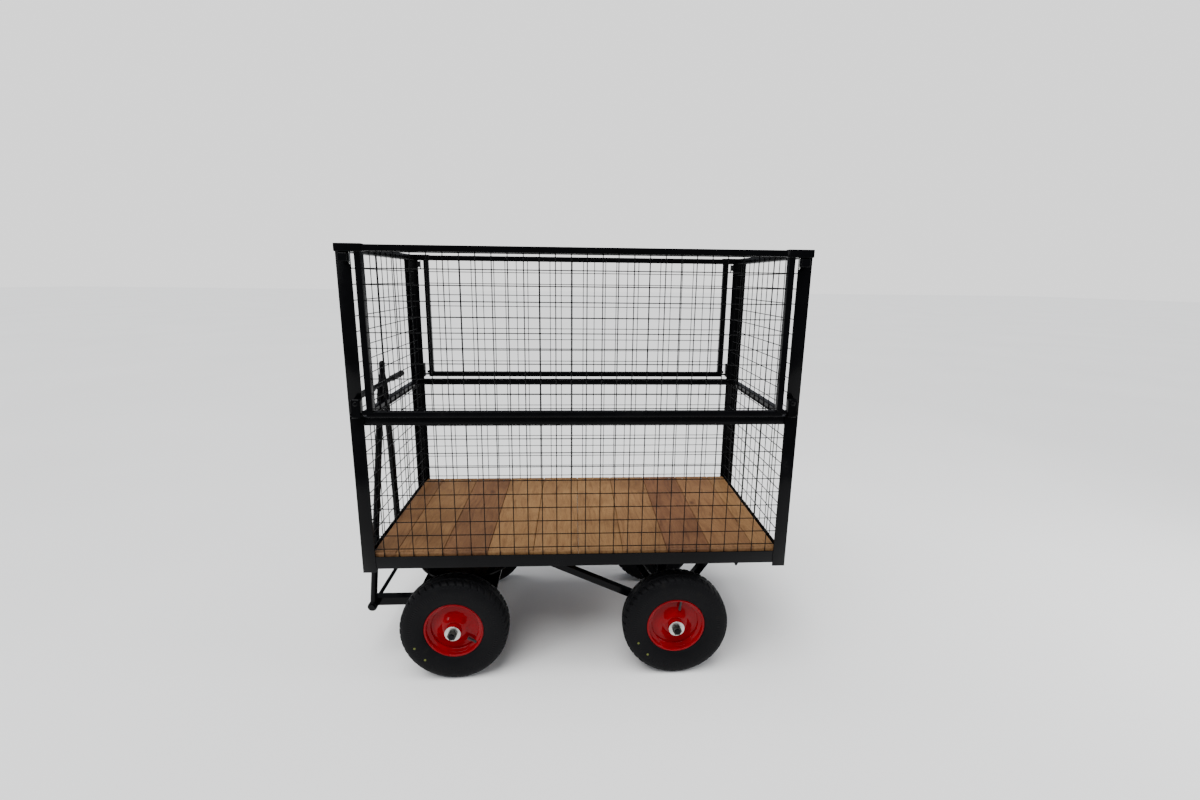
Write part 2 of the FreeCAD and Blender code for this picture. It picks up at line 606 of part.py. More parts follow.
os.makedirs("parts", exist_ok=True)
rails()
posts()
mid_rails()
cage_mesh()
deck()
for gate_side, gate_face in ((-1, "front"), (1, "rear")):
    gate_panel(gate_side, gate_face)
    gate_pins(gate_side, gate_face)
    gate_catches(gate_side, gate_face)
post_blocks()
wheels()
axle(FRONT_X, "front")
axle(REAR_X, "rear")
rear_hanger()
pedestal()
bogie()
handle()
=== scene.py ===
import math

import bmesh
import bpy
import numpy as np
from mathutils import Matrix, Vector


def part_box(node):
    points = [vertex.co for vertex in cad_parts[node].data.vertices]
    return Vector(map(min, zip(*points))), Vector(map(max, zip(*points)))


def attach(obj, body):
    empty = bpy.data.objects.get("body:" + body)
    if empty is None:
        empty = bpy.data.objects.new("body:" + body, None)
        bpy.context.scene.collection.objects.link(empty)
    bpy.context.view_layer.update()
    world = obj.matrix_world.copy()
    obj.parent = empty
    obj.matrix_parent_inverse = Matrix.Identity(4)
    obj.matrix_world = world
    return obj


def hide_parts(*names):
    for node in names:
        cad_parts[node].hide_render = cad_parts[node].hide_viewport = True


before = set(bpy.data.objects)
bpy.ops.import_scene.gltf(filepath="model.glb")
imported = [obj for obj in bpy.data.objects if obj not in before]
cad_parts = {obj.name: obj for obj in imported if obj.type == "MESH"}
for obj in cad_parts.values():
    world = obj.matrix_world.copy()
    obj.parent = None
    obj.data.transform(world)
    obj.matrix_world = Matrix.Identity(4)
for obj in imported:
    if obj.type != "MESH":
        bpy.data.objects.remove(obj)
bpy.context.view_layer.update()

# Lengths below are in millimetres, measured from the middle of the cage and from the ground.
# place() turns them into metres in the cart's own frame.
MM = 0.001
cage_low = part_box("lower_posts_left")[0]
cage_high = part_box("lower_posts_right")[1]
CAGE_X = (cage_low.x + cage_high.x) / 2
HALF_LENGTH = (cage_high.x - cage_low.x) / 2 / MM
HALF_WIDTH = (cage_high.y - cage_low.y) / 2 / MM
SPLIT = cage_high.z / MM
POST_FOOT = cage_low.z / MM
POST_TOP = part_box("upper_end_frame_left")[1].z / MM
WHEEL_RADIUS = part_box("wheel_front_near_tyre")[1].z / 2 / MM
PITCH = 50.0
WIRE = 3.0
MID_TUBE = 25.0
GATE_TUBE = 20.0
BLOCK_X = 717.0
BOARD = 159.0


def place(points):
    """Cage millimetres to metres in the cart's frame: x moves by the cage's middle."""
    return np.asarray(points, float) * MM + np.array([CAGE_X, 0, 0])


# ---------------------------------------------------------------- shapes
# A shape is (points n x 3, [face arrays]); a face array holds one polygon per row.

def grid_faces(rows, columns, wrap_rows, wrap_columns):
    """Quads of a grid of points, row by row; a wrapped direction joins its last line to its first."""
    i = np.arange(rows if wrap_rows else rows - 1)
    j = np.arange(columns if wrap_columns else columns - 1)
    a, b = (m.ravel() for m in np.meshgrid(i, j, indexing="ij"))
    a2, b2 = (a + 1) % rows, (b + 1) % columns
    return np.stack([a * columns + b, a2 * columns + b, a2 * columns + b2, a * columns + b2], 1)


def joined(shapes):
    """Several shapes as one: the points one after the other, each face's numbers moved along."""
    points, faces, start = [], [], 0
    for p, fs in shapes:
        points.append(p)
        faces += [f + start for f in fs]
        start += len(p)
    return np.concatenate(points), faces


def rounded(outline, radius, steps=3):
    """A closed flat outline with each corner cut by a quadratic curve, from radius before it to radius
    after."""
    outline = np.asarray(outline, float)
    before, after = np.roll(outline, 1, 0) - outline, np.roll(outline, -1, 0) - outline
    lb, la = np.linalg.norm(before, axis=1), np.linalg.norm(after, axis=1)
    r = np.minimum(np.broadcast_to(radius, lb.shape), 0.48 * np.minimum(lb, la))
    start, end = outline + before / lb[:, None] * r[:, None], outline + after / la[:, None] * r[:, None]
    t = np.linspace(0, 1, steps + 1)[None, :, None]
    curve = (1 - t) ** 2 * start[:, None] + 2 * t * (1 - t) * outline[:, None] + t ** 2 * end[:, None]
    return curve.reshape(-1, 2)


def section_bar(outline, start, end, across, up, ease=0.6):
    """A flat outline carried from start to end: point = place along the run + u times across + v times up,
    with the outline drawn in by ease at both ends so the cut ends have a small chamfer."""
    start, end = np.asarray(start, float), np.asarray(end, float)
    across, up = np.asarray(across, float), np.asarray(up, float)
    outline = np.asarray(outline, float)
    centre = outline.mean(0)
    run = (end - start) / np.linalg.norm(end - start)
    reach = np.maximum(np.linalg.norm(centre - outline, axis=1), 1)[:, None]
    shrink = outline + (centre - outline) / reach * ease
    rings = [start + shrink[:, :1] * across + shrink[:, 1:] * up,
             start + run * ease + outline[:, :1] * across + outline[:, 1:] * up,
             end - run * ease + outline[:, :1] * across + outline[:, 1:] * up,
             end + shrink[:, :1] * across + shrink[:, 1:] * up]
    n = len(outline)
    caps = np.array([np.arange(n)[::-1], np.arange(n) + 3 * n])
    shape = (np.concatenate(rings), [grid_faces(4, n, False, True)[:, ::-1], caps])
    turn = np.cross(across, up) @ run
    area = np.sum(outline[:, 0] * np.roll(outline[:, 1], -1) - np.roll(outline[:, 0], -1) * outline[:, 1])
    return shape if turn * area > 0 else (shape[0], [f[:, ::-1] for f in shape[1]])


def square(side, radius=2.2):
    """A square tube's outline, its corners rounded as a folded and welded tube's are."""
    h = side / 2
    return rounded([(-h, -h), (h, -h), (h, h), (-h, h)], radius)


def angle_iron(leg_u, leg_v, wall):
    """A rolled angle's outline from its outer corner: sharp heel, round toes, and a fillet inside."""
    return rounded([(0, 0), (leg_u, 0), (leg_u, wall), (wall, wall), (wall, leg_v), (0, leg_v)],
                   np.array([0.9, 0.5, 2.6, 4.0, 2.6, 0.5]), 4)


def tube_along(path, radii, sides):
    """A round bar along a path: rings of radius r about each point, square to the path's direction there."""
    path = np.asarray(path, float)
    radii = np.broadcast_to(np.asarray(radii, float), (len(path),))
    along = np.gradient(path, axis=0)
    along /= np.linalg.norm(along, axis=1)[:, None]
    helper = np.eye(3)[np.argmin(np.abs(along).max(0))]
    u = np.cross(along, helper)
    u /= np.linalg.norm(u, axis=1)[:, None]
    v = np.cross(along, u)
    t = np.linspace(0, 2 * np.pi, sides, endpoint=False)
    ring = np.cos(t)[None, :, None] * u[:, None] + np.sin(t)[None, :, None] * v[:, None]
    points = path[:, None] + radii[:, None, None] * ring
    n = len(path)
    caps = np.array([np.arange(sides)[::-1], np.arange(sides) + (n - 1) * sides])
    return points.reshape(-1, 3), [grid_faces(n, sides, False, True)[:, ::-1], caps]


def straight_wires(starts, ends, radius, sides=8):
    """Many straight round wires at once: a ring of points at each end of each wire, joined by quads and
    capped."""
    starts, ends = np.asarray(starts, float), np.asarray(ends, float)
    along = ends - starts
    along /= np.linalg.norm(along, axis=1)[:, None]
    helper = np.where(np.abs(along[:, 2:]) > 0.9, np.array([[1.0, 0, 0]]), np.array([[0, 0, 1.0]]))
    u = np.cross(along, helper)
    u /= np.linalg.norm(u, axis=1)[:, None]
    v = np.cross(along, u)
    t = np.linspace(0, 2 * np.pi, sides, endpoint=False)
    ring = (np.cos(t)[None, :, None] * u[:, None] + np.sin(t)[None, :, None] * v[:, None]) * radius
    points = np.stack([starts[:, None] + ring, ends[:, None] + ring], 1)
    first = np.arange(len(starts))[:, None, None] * 2 * sides
    quads = (grid_faces(2, sides, False, True)[None, :, ::-1] + first).reshape(-1, 4)
    low = np.arange(sides)[None, ::-1] + first[:, 0]
    high = np.arange(sides)[None] + sides + first[:, 0]
    return points.reshape(-1, 3), [quads, np.concatenate([low, high])]


def nuggets(centres, size, normal):
    """Weld nuggets: one small flattened ball at each centre, thinner along the panel's normal."""
    polar = np.linspace(0, np.pi, 5)[1:-1]
    t = np.linspace(0, 2 * np.pi, 6, endpoint=False)
    ring = np.stack([np.sin(polar)[:, None] * np.cos(t), np.sin(polar)[:, None] * np.sin(t),
                     np.cos(polar)[:, None] + 0 * t], -1).reshape(-1, 3)
    ball = np.concatenate([ring, [[0, 0, 1.0], [0, 0, -1.0]]]) * size
    ball = ball * (1 - np.abs(normal) * 0.1)
    i = np.arange(6)
    first = np.arange(len(centres))[:, None, None] * len(ball)
    quads = (grid_faces(3, 6, False, True)[None] + first).reshape(-1, 4)
    top = np.stack([np.full(6, 18), i, (i + 1) % 6], 1)
    low = np.stack([np.full(6, 19), 12 + (i + 1) % 6, 12 + i], 1)
    fans = (np.concatenate([top, low])[None] + first).reshape(-1, 3)
    return (np.asarray(centres)[:, None] + ball[None]).reshape(-1, 3), [quads, fans]


def turned(profile, centre, side, segments, closed=True):
    """A profile of (radius r, distance o along the axle) turned about Y: x = r cos t, y = side times o,
    z = r sin t. An open profile gets a flat face on its first ring and on its last."""
    profile = np.asarray(profile, float)
    t = np.linspace(0, 2 * np.pi, segments, endpoint=False)
    r, o = profile[:, 0], profile[:, 1]
    points = np.stack([r * np.cos(t)[:, None], side * o + 0 * t[:, None], r * np.sin(t)[:, None]], -1)
    faces = [grid_faces(segments, len(profile), True, closed)]
    if not closed:
        ring = np.arange(segments) * len(profile)
        faces.append(np.array([ring[::-1], ring + len(profile) - 1]))
    area = np.sum(r * np.roll(o, -1) - np.roll(r, -1) * o) * side
    faces = faces if area < 0 else [f[:, ::-1] for f in faces]
    return points.reshape(-1, 3) + np.asarray(centre, float), faces


def smooth_line(points, count):
    """A Catmull-Rom curve through the points, sampled at count even steps of the point number."""
    p = np.asarray(points, float)
    p = np.concatenate([2 * p[:1] - p[1:2], p, 2 * p[-1:] - p[-2:-1]])
    s = np.linspace(0, len(p) - 3 - 1e-9, count)
    k, t = np.floor(s).astype(int), (s % 1)[:, None]
    a, b, c, d = p[k], p[k + 1], p[k + 2], p[k + 3]
    square_part = (2 * a - 5 * b + 4 * c - d) * t ** 2
    cube_part = (3 * b - a - 3 * c + d) * t ** 3
    return 0.5 * (2 * b + (c - a) * t + square_part + cube_part)


def sheet_outline(line, thick):
    """A bent sheet's outline: the centre line moved half a thickness to each side, one side out and one
    back."""
    line = np.asarray(line, float)
    along = np.gradient(line, axis=0)
    along /= np.linalg.norm(along, axis=1)[:, None]
    normal = np.stack([-along[:, 1], along[:, 0]], 1) * thick / 2
    tip0, tip1 = line[:1] - along[:1] * thick * 0.4, line[-1:] + along[-1:] * thick * 0.4
    return np.concatenate([line + normal, tip1, (line - normal)[::-1], tip0])


def softened_line(points, radius, steps=5):
    """An open line with each inner corner rounded by a quadratic curve."""
    p = np.asarray(points, float)
    inner = p[1:-1]
    before, after = p[:-2] - inner, p[2:] - inner
    lb, la = np.linalg.norm(before, axis=1), np.linalg.norm(after, axis=1)
    r = np.minimum(radius, 0.48 * np.minimum(lb, la))[:, None]
    start, end = inner + before / lb[:, None] * r, inner + after / la[:, None] * r
    t = np.linspace(0, 1, steps)[None, :, None]
    curve = (1 - t) ** 2 * start[:, None] + 2 * t * (1 - t) * inner[:, None] + t ** 2 * end[:, None]
    return np.concatenate([p[:1], curve.reshape(-1, p.shape[1]), p[-1:]])


def piece(name, shape, body, material, stands_for=(), crease=35, uv=None, attribute=None):
    """Put a shape into a mesh, in metres, and let it ride on its body in place of the CAD nodes it stands
    for."""
    points, faces = shape
    mesh = bpy.data.meshes.new(name)
    mesh.from_pydata(place(points).tolist(), [], [row for f in faces for row in f.tolist()])
    return finish_piece(name, mesh, body, material, stands_for, crease, uv, attribute)


def finish_piece(name, mesh, body, material, stands_for, crease, uv, attribute):
    mesh.validate()
    if uv is not None:
        layer = mesh.uv_layers.new(name="UVMap")
        corner = np.zeros(len(mesh.loops), np.int32)
        mesh.loops.foreach_get("vertex_index", corner)
        values = uv[corner].copy()
        owner = np.repeat(np.arange(len(mesh.polygons)), [p.loop_total for p in mesh.polygons])
        highest = np.zeros(len(mesh.polygons))
        np.maximum.at(highest, owner, values[:, 0])
        wrap = (values[:, 0] == 0) & (highest[owner] > 0.5)
        values[wrap, 0] = 1.0
        layer.data.foreach_set("uv", values.astype(np.float32).ravel())
    if attribute is not None:
        layer = mesh.attributes.new(attribute[0], "FLOAT", "POINT")
        layer.data.foreach_set("value", attribute[1].astype(np.float32))
    mesh.shade_smooth()
    mesh.set_sharp_from_angle(angle=math.radians(crease))
    mesh.materials.append(material)
    obj = bpy.data.objects.new(name, mesh)
    bpy.context.scene.collection.objects.link(obj)
    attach(obj, body)
    if stands_for:
        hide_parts(*stands_for)
    return obj


def eased(node, body, width, material):
    """A CAD node with its edges eased: a copy, doubles merged and flat faces joined, then a bevel of width
    mm."""
    bm = bmesh.new()
    bm.from_mesh(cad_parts[node].data)
    bmesh.ops.remove_doubles(bm, verts=bm.verts, dist=2e-6)
    bmesh.ops.dissolve_limit(bm, angle_limit=math.radians(0.5), verts=bm.verts, edges=bm.edges)
    mesh = bpy.data.meshes.new(node + "_eased")
    bm.to_mesh(mesh)
    bm.free()
    obj = finish_piece(node + "_eased", mesh, body, material, (node,), 30, None, None)
    bevel = obj.modifiers.new("eased_edges", "BEVEL")
    bevel.width = width * MM
    bevel.segments = 2
    bevel.limit_method = "ANGLE"
    bevel.angle_limit = math.radians(40)
    bevel.harden_normals = True
    return obj


# ---------------------------------------------------------------- materials

def linear(code):
    """An sRGB hex colour as linear red, green, blue, 1."""
    parts = np.array([int(code[i:i + 2], 16) for i in (1, 3, 5)]) / 255
    low = parts / 12.92
    high = ((parts + 0.055) / 1.055) ** 2.4
    return [*np.where(parts <= 0.04045, low, high), 1.0]


COORDINATES = "ShaderNodeTexCoord"
MAPPING = "ShaderNodeMapping"
VECTOR_MATH = "ShaderNodeVectorMath"
NOISE = "ShaderNodeTexNoise"
RAMP = "ShaderNodeValToRGB"
MIX = "ShaderNodeMix"
BUMP = "ShaderNodeBump"
SHADER = "ShaderNodeBsdfPrincipled"
OUTPUT = "ShaderNodeOutputMaterial"


def add(tree, kind, settings=None, links=None):
    """One node: settings go to its properties, its input sockets or its colour stops, which are pairs of
    (position, hex or grey level), and links join its inputs to other outputs."""
    made = tree.nodes.new(kind)
    for key, value in (settings or {}).items():
        if key == "stops":
            elements = made.color_ramp.elements
            while len(elements) < len(value):
                elements.new(0.5)
            for element, (position, tone) in zip(elements, value):
                element.position = position
                element.color = linear(tone) if isinstance(tone, str) else [tone, tone, tone, 1]
        elif isinstance(key, str) and hasattr(made, key):
            setattr(made, key, value)
        else:
            made.inputs[key].default_value = value
    for key, source in (links or {}).items():
        tree.links.new(source, made.inputs[key])
    return made


def new_material(name):
    material = bpy.data.materials.new(name)
    material.use_nodes = True
    tree = material.node_tree
    tree.nodes.clear()
    return material, tree


def gloss_black_paint():
    """Sprayed gloss black enamel on mild steel: near black, a wet shine, faint orange peel
    about 4 mm across, and a little dry dust that dulls it in patches a hand wide."""
    material, tree = new_material("sprayed_gloss_black_enamel_on_steel")
    where = add(tree, COORDINATES).outputs["Object"]
    dust = add(tree, NOISE, {"Scale": 9.0, "Detail": 5.0, "Roughness": 0.62}, {"Vector": where})
    peel = add(tree, NOISE, {"Scale": 240.0, "Detail": 2.0}, {"Vector": where})
    speck = add(tree, NOISE, {"Scale": 900.0, "Detail": 2.0}, {"Vector": where})
    colour = add(tree, RAMP, {"stops": [(0.35, "#050506"), (0.62, "#08080a"), (0.85, "#141313")]},
                 {"Fac": dust.outputs["Fac"]}).outputs["Color"]
    rough = add(tree, RAMP, {"stops": [(0.3, 0.14), (0.6, 0.22), (0.85, 0.4)]},
                {"Fac": dust.outputs["Fac"]}).outputs["Color"]
    fine = add(tree, BUMP, {"Strength": 0.05, "Distance": 0.0004}, {"Height": speck.outputs["Fac"]})
    bump = add(tree, BUMP, {"Strength": 0.16, "Distance": 0.0008},
               {"Height": peel.outputs["Fac"], "Normal": fine.outputs["Normal"]})
    shader = add(tree, SHADER, {"IOR": 1.45, "Specular IOR Level": 0.1},
                 {"Base Color": colour, "Roughness": rough, "Normal": bump.outputs["Normal"]})
    add(tree, OUTPUT, {}, {"Surface": shader.outputs["BSDF"]})
    return material


def black_wire_paint():
    """Dipped black paint on drawn wire: near black, softer shine than the tubes, runs a few mm long."""
    material, tree = new_material("dipped_black_paint_on_drawn_wire")
    where = add(tree, COORDINATES).outputs["Object"]
    runs = add(tree, NOISE, {"Scale": 160.0, "Detail": 3.0}, {"Vector": where})
    patch = add(tree, NOISE, {"Scale": 14.0, "Detail": 3.0}, {"Vector": where})
    colour = add(tree, RAMP, {"stops": [(0.3, "#050506"), (0.7, "#0b0b0c"), (0.9, "#171615")]},
                 {"Fac": patch.outputs["Fac"]}).outputs["Color"]
    rough = add(tree, RAMP, {"stops": [(0.3, 0.28), (0.7, 0.44)]},
                {"Fac": runs.outputs["Fac"]}).outputs["Color"]
    bump = add(tree, BUMP, {"Strength": 0.2, "Distance": 0.0004}, {"Height": runs.outputs["Fac"]})
    shader = add(tree, SHADER, {"IOR": 1.45, "Specular IOR Level": 0.1},
                 {"Base Color": colour, "Roughness": rough, "Normal": bump.outputs["Normal"]})
    add(tree, OUTPUT, {}, {"Surface": shader.outputs["BSDF"]})
    return material


def planed_pine():
    """Planed pine boards: growth rings 3 to 9 mm apart stretched along the board, dark knots, board to
    board change from tan to reddish brown, pores as fine streaks, and grey handling marks."""
    material, tree = new_material("planed_pine_boards")
    where = add(tree, COORDINATES).outputs["Object"]
    board = add(tree, "ShaderNodeAttribute", {"attribute_name": "board"}).outputs["Fac"]
    shift = add(tree, VECTOR_MATH, {"operation": "SCALE", 0: (3.1, 5.7, 1.9)}, {"Scale": board})
    moved = add(tree, VECTOR_MATH, {"operation": "ADD"},
                {0: where, 1: shift.outputs["Vector"]}).outputs["Vector"]
    bend = add(tree, NOISE, {"Scale": 3.2, "Detail": 2.0}, {"Vector": moved})
    bent = add(tree, VECTOR_MATH, {"operation": "MULTIPLY_ADD", 1: (0.09, 0.0, 0.09)},
               {0: bend.outputs["Color"], 2: moved}).outputs["Vector"]
    rings = add(tree, MAPPING, {"Scale": (62.0, 2.6, 62.0)}, {"Vector": bent}).outputs["Vector"]
    grain = add(tree, NOISE, {"Scale": 1.7, "Detail": 5.0, "Roughness": 0.55}, {"Vector": rings})
    fine = add(tree, MAPPING, {"Scale": (900.0, 14.0, 900.0)}, {"Vector": bent}).outputs["Vector"]
    pores = add(tree, NOISE, {"Scale": 1.0, "Detail": 2.0}, {"Vector": fine})
    tan = [(0.30, "#795631"), (0.47, "#8f6a42"), (0.62, "#977349"), (0.78, "#815d37")]
    light = add(tree, RAMP, {"stops": tan}, {"Fac": grain.outputs["Fac"]}).outputs["Color"]
    reddish = [(0.30, "#5c3a22"), (0.47, "#6f492e"), (0.62, "#775133"), (0.78, "#623e26")]
    dark = add(tree, RAMP, {"stops": reddish}, {"Fac": grain.outputs["Fac"]}).outputs["Color"]
    number = add(tree, "ShaderNodeMath", {"operation": "FRACT"}, {0: board}).outputs["Value"]
    share = add(tree, RAMP, {"stops": [(0.25, 0.0), (0.75, 1.0)]}, {"Fac": number}).outputs["Color"]
    tone = add(tree, MIX, {"data_type": "RGBA"}, {0: share, 6: light, 7: dark}).outputs[2]
    patch = add(tree, NOISE, {"Scale": 5.5, "Detail": 4.0}, {"Vector": moved})
    stain = add(tree, RAMP, {"stops": [(0.35, "#b9ac9c"), (0.55, "#ffffff"), (0.8, "#d8c9b4")]},
                {"Fac": patch.outputs["Fac"]}).outputs["Color"]
    stained = add(tree, MIX, {"data_type": "RGBA", "blend_type": "MULTIPLY", 0: 0.5},
                  {6: tone, 7: stain}).outputs[2]
    cells = add(tree, MAPPING, {"Scale": (7.5, 4.6, 7.5)}, {"Vector": bent}).outputs["Vector"]
    knots = add(tree, "ShaderNodeTexVoronoi", {"Scale": 1.0, "Randomness": 1.0}, {"Vector": cells})
    knot = add(tree, RAMP, {"stops": [(0.03, 1.0), (0.07, 0.5), (0.12, 0.0)]},
               {"Fac": knots.outputs["Distance"]}).outputs["Color"]
    knotted = add(tree, MIX, {"data_type": "RGBA", 7: linear("#4a2c18")}, {0: knot, 6: stained}).outputs[2]
    streak = add(tree, RAMP, {"stops": [(0.42, "#d2c5b4"), (0.58, "#ffffff")]},
                 {"Fac": pores.outputs["Fac"]}).outputs["Color"]
    colour = add(tree, MIX, {"data_type": "RGBA", "blend_type": "MULTIPLY", 0: 0.6},
                 {6: knotted, 7: streak}).outputs[2]
    rough = add(tree, RAMP, {"stops": [(0.3, 0.5), (0.7, 0.66)]},
                {"Fac": grain.outputs["Fac"]}).outputs["Color"]
    bump_fine = add(tree, BUMP, {"Strength": 0.25, "Distance": 0.0004}, {"Height": pores.outputs["Fac"]})
    bump = add(tree, BUMP, {"Strength": 0.3, "Distance": 0.0008},
               {"Height": grain.outputs["Fac"], "Normal": bump_fine.outputs["Normal"]})
    shader = add(tree, SHADER, {"IOR": 1.45},
                 {"Base Color": colour, "Roughness": rough, "Normal": bump.outputs["Normal"]})
    add(tree, OUTPUT, {}, {"Surface": shader.outputs["BSDF"]})
    return material


def patchy_finish(name, low, high, low_rough, high_rough, scale, finish):
    """A finish that drifts from a low to a high colour and roughness, in about scale patches to the metre,
    over a grain 22 times finer that stands 0.3 mm proud."""
    material, tree = new_material(name)
    where = add(tree, COORDINATES).outputs["Object"]
    patch = add(tree, NOISE, {"Scale": scale, "Detail": 5.0}, {"Vector": where})
    fine = add(tree, NOISE, {"Scale": scale * 22, "Detail": 2.0}, {"Vector": where})
    colour = add(tree, RAMP, {"stops": [(0.3, low), (0.75, high)]}, {"Fac": patch.outputs["Fac"]})
    rough = add(tree, RAMP, {"stops": [(0.3, low_rough), (0.75, high_rough)]}, {"Fac": patch.outputs["Fac"]})
    bump = add(tree, BUMP, {"Strength": 0.2, "Distance": 0.0003}, {"Height": fine.outputs["Fac"]})
    shader = add(tree, SHADER, finish,
                 {"Base Color": colour.outputs["Color"], "Roughness": rough.outputs["Color"],
                  "Normal": bump.outputs["Normal"]})
    add(tree, OUTPUT, {}, {"Surface": shader.outputs["BSDF"]})
    return material


def red_stove_enamel():
    """Stoved red enamel on pressed steel: deep blood red, smooth, with a restrained shine, faint
    patches about 30 mm across and a grain of about 1.5 mm."""
    return patchy_finish("stoved_red_enamel_on_pressed_steel", "#76000a", "#86000e", 0.12, 0.2, 30.0,
                         {"IOR": 1.5, "Specular IOR Level": 0.1, "Coat Weight": 0.06, "Coat Roughness": 0.04})


def bright_zinc():
    """Zinc plate on a stamped washer: pale grey, faint spangle, soft shine."""
    return patchy_finish("bright_zinc_plate_on_stamped_steel", "#a9aaa6", "#cfcfca", 0.24, 0.4, 60.0,
                         {"Metallic": 1.0})


def dull_nut_steel():
    """Self-coloured steel of the axle nuts: dark grey, oily, slightly uneven."""
    return patchy_finish("oily_self_coloured_nut_steel", "#2b2b2a", "#4b4a46", 0.32, 0.5, 80.0,
                         {"Metallic": 1.0})


def ground_bearing_steel():
    """Ground steel of the bearing rings: bright grey with a thin film of grease."""
    return patchy_finish("ground_bearing_steel_with_grease", "#7d7c78", "#a3a29d", 0.2, 0.35, 90.0,
                         {"Metallic": 1.0})


def moulded_tyre_rubber():
    """Vulcanised black tyre rubber: charcoal, matt, grit 1 mm across, two bands of fine radial ribs round
    each side wall from the mould, and faint pale dust in patches 45 mm across."""
    material, tree = new_material("vulcanised_black_tyre_rubber")
    where = add(tree, COORDINATES)
    grit = add(tree, NOISE, {"Scale": 700.0, "Detail": 3.0}, {"Vector": where.outputs["Object"]})
    dust = add(tree, NOISE, {"Scale": 22.0, "Detail": 6.0}, {"Vector": where.outputs["Object"]})
    spokes = add(tree, "ShaderNodeTexWave", {"Scale": 35.0, "bands_direction": "X"},
                 {"Vector": where.outputs["UV"]})
    along = add(tree, "ShaderNodeSeparateXYZ", {}, {"Vector": where.outputs["UV"]}).outputs["Y"]
    band_edges = [(0.185, 0.0), (0.195, 1.0), (0.235, 1.0), (0.245, 0.0), (0.755, 0.0), (0.765, 1.0),
                  (0.805, 1.0), (0.815, 0.0)]
    band = add(tree, RAMP, {"stops": band_edges}, {"Fac": along}).outputs["Color"]
    ribs = add(tree, "ShaderNodeMath", {"operation": "MULTIPLY"}, {0: spokes.outputs["Fac"], 1: band})
    colour = add(tree, RAMP, {"stops": [(0.35, "#09090b"), (0.6, "#0d0d0f"), (0.85, "#191816")]},
                 {"Fac": dust.outputs["Fac"]}).outputs["Color"]
    rough = add(tree, RAMP, {"stops": [(0.3, 0.52), (0.7, 0.7)]},
                {"Fac": dust.outputs["Fac"]}).outputs["Color"]
    first = add(tree, BUMP, {"Strength": 0.25, "Distance": 0.0004}, {"Height": grit.outputs["Fac"]})
    bump = add(tree, BUMP, {"Strength": 0.8, "Distance": 0.0008},
               {"Height": ribs.outputs["Value"], "Normal": first.outputs["Normal"]})
    shader = add(tree, SHADER, {"IOR": 1.5, "Specular IOR Level": 0.08},
                 {"Base Color": colour, "Roughness": rough, "Normal": bump.outputs["Normal"]})
    add(tree, OUTPUT, {}, {"Surface": shader.outputs["BSDF"]})
    return material


def matt_grip_rubber():
    """Soft moulded rubber of the grips and valves: black, matt, with a fine leathery skin."""
    return patchy_finish("soft_moulded_black_rubber", "#0e0e0f", "#1a1a1b", 0.45, 0.62, 60.0,
                         {"IOR": 1.5})


def paint_dot():
    """The tyre maker's balance mark: a dab of yellow-green marking paint, flat and slightly worn."""
    return patchy_finish("yellow_green_marking_paint", "#4a5016", "#626820", 0.55, 0.75, 300.0,
                         {"IOR": 1.45})


PAINT = gloss_black_paint()
WIRE_PAINT = black_wire_paint()
PINE = planed_pine()
RED = red_stove_enamel()
ZINC = bright_zinc()
NUT_STEEL = dull_nut_steel()
BEARING = ground_bearing_steel()
RUBBER = moulded_tyre_rubber()
GRIP = matt_grip_rubber()
DOT = paint_dot()

# ---------------------------------------------------------------- cage

LEG = 45.0
WALL = 5.0
X, Y, Z = np.eye(3)


def post(side_x, side_y, foot, top):
    """A corner post of angle iron, its heel at the cage's outer corner."""
    heel = np.array([side_x * HALF_LENGTH, side_y * HALF_WIDTH, 0])
    return section_bar(angle_iron(LEG, LEG, WALL), heel + Z * foot, heel + Z * top, -side_x * X, -side_y * Y)


def make_cage_frame():
    tube = square(MID_TUBE)
    for side, end in ((-1, "left"), (1, "right")):
        lower = [post(side, s, POST_FOOT, SPLIT - 0.4) for s in (-1, 1)]
        piece("lower_posts_" + end + "_angle", joined(lower), "cart", PAINT,
              ("lower_posts_" + end,))
        upper = [post(side, s, SPLIT + 0.4, POST_TOP) for s in (-1, 1)]
        x = side * (HALF_LENGTH - WALL - MID_TUBE / 2)
        half = HALF_WIDTH - WALL
        upper.append(section_bar(tube, (x, -half, POST_TOP - MID_TUBE / 2),
                                 (x, half, POST_TOP - MID_TUBE / 2), X, Z))
        piece("upper_end_frame_" + end + "_angle", joined(upper), "cart", PAINT,
              ("upper_end_frame_" + end,))
        low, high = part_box("end_rail_" + end)
        outline = angle_iron(LEG, (high.z - low.z) / MM, WALL)
        heel = np.array([side * HALF_LENGTH, 0, low.z / MM])
        rail = section_bar(outline, heel + Y * low.y / MM, heel + Y * high.y / MM, -side * X, Z)
        piece("end_rail_" + end + "_angle", rail, "cart", PAINT, ("end_rail_" + end,))
        low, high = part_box("mid_rail_" + end)
        z = (low.z + high.z) / 2 / MM
        rail = section_bar(tube, (x, low.y / MM, z), (x, high.y / MM, z), X, Z)
        piece("mid_rail_" + end + "_tube", rail, "cart", PAINT, ("mid_rail_" + end,))
    for side, face in ((-1, "front"), (1, "rear")):
        low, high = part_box("side_rail_" + face)
        heel = np.array([0, side * HALF_WIDTH, low.z / MM])
        half = (high.x - low.x) / 2 / MM
        rail = section_bar(angle_iron(LEG, LEG, WALL), heel - X * half, heel + X * half, -side * Y, Z)
        piece("side_rail_" + face + "_angle", rail, "cart", PAINT, ("side_rail_" + face,))
        low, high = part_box("mid_rail_" + face)
        y, z = (low.y + high.y) / 2 / MM, (low.z + high.z) / 2 / MM
        half = (high.x - low.x) / 2 / MM
        rail = section_bar(tube, (-half, y, z), (half, y, z), Y, Z)
        piece("mid_rail_" + face + "_tube", rail, "cart", PAINT, ("mid_rail_" + face,))


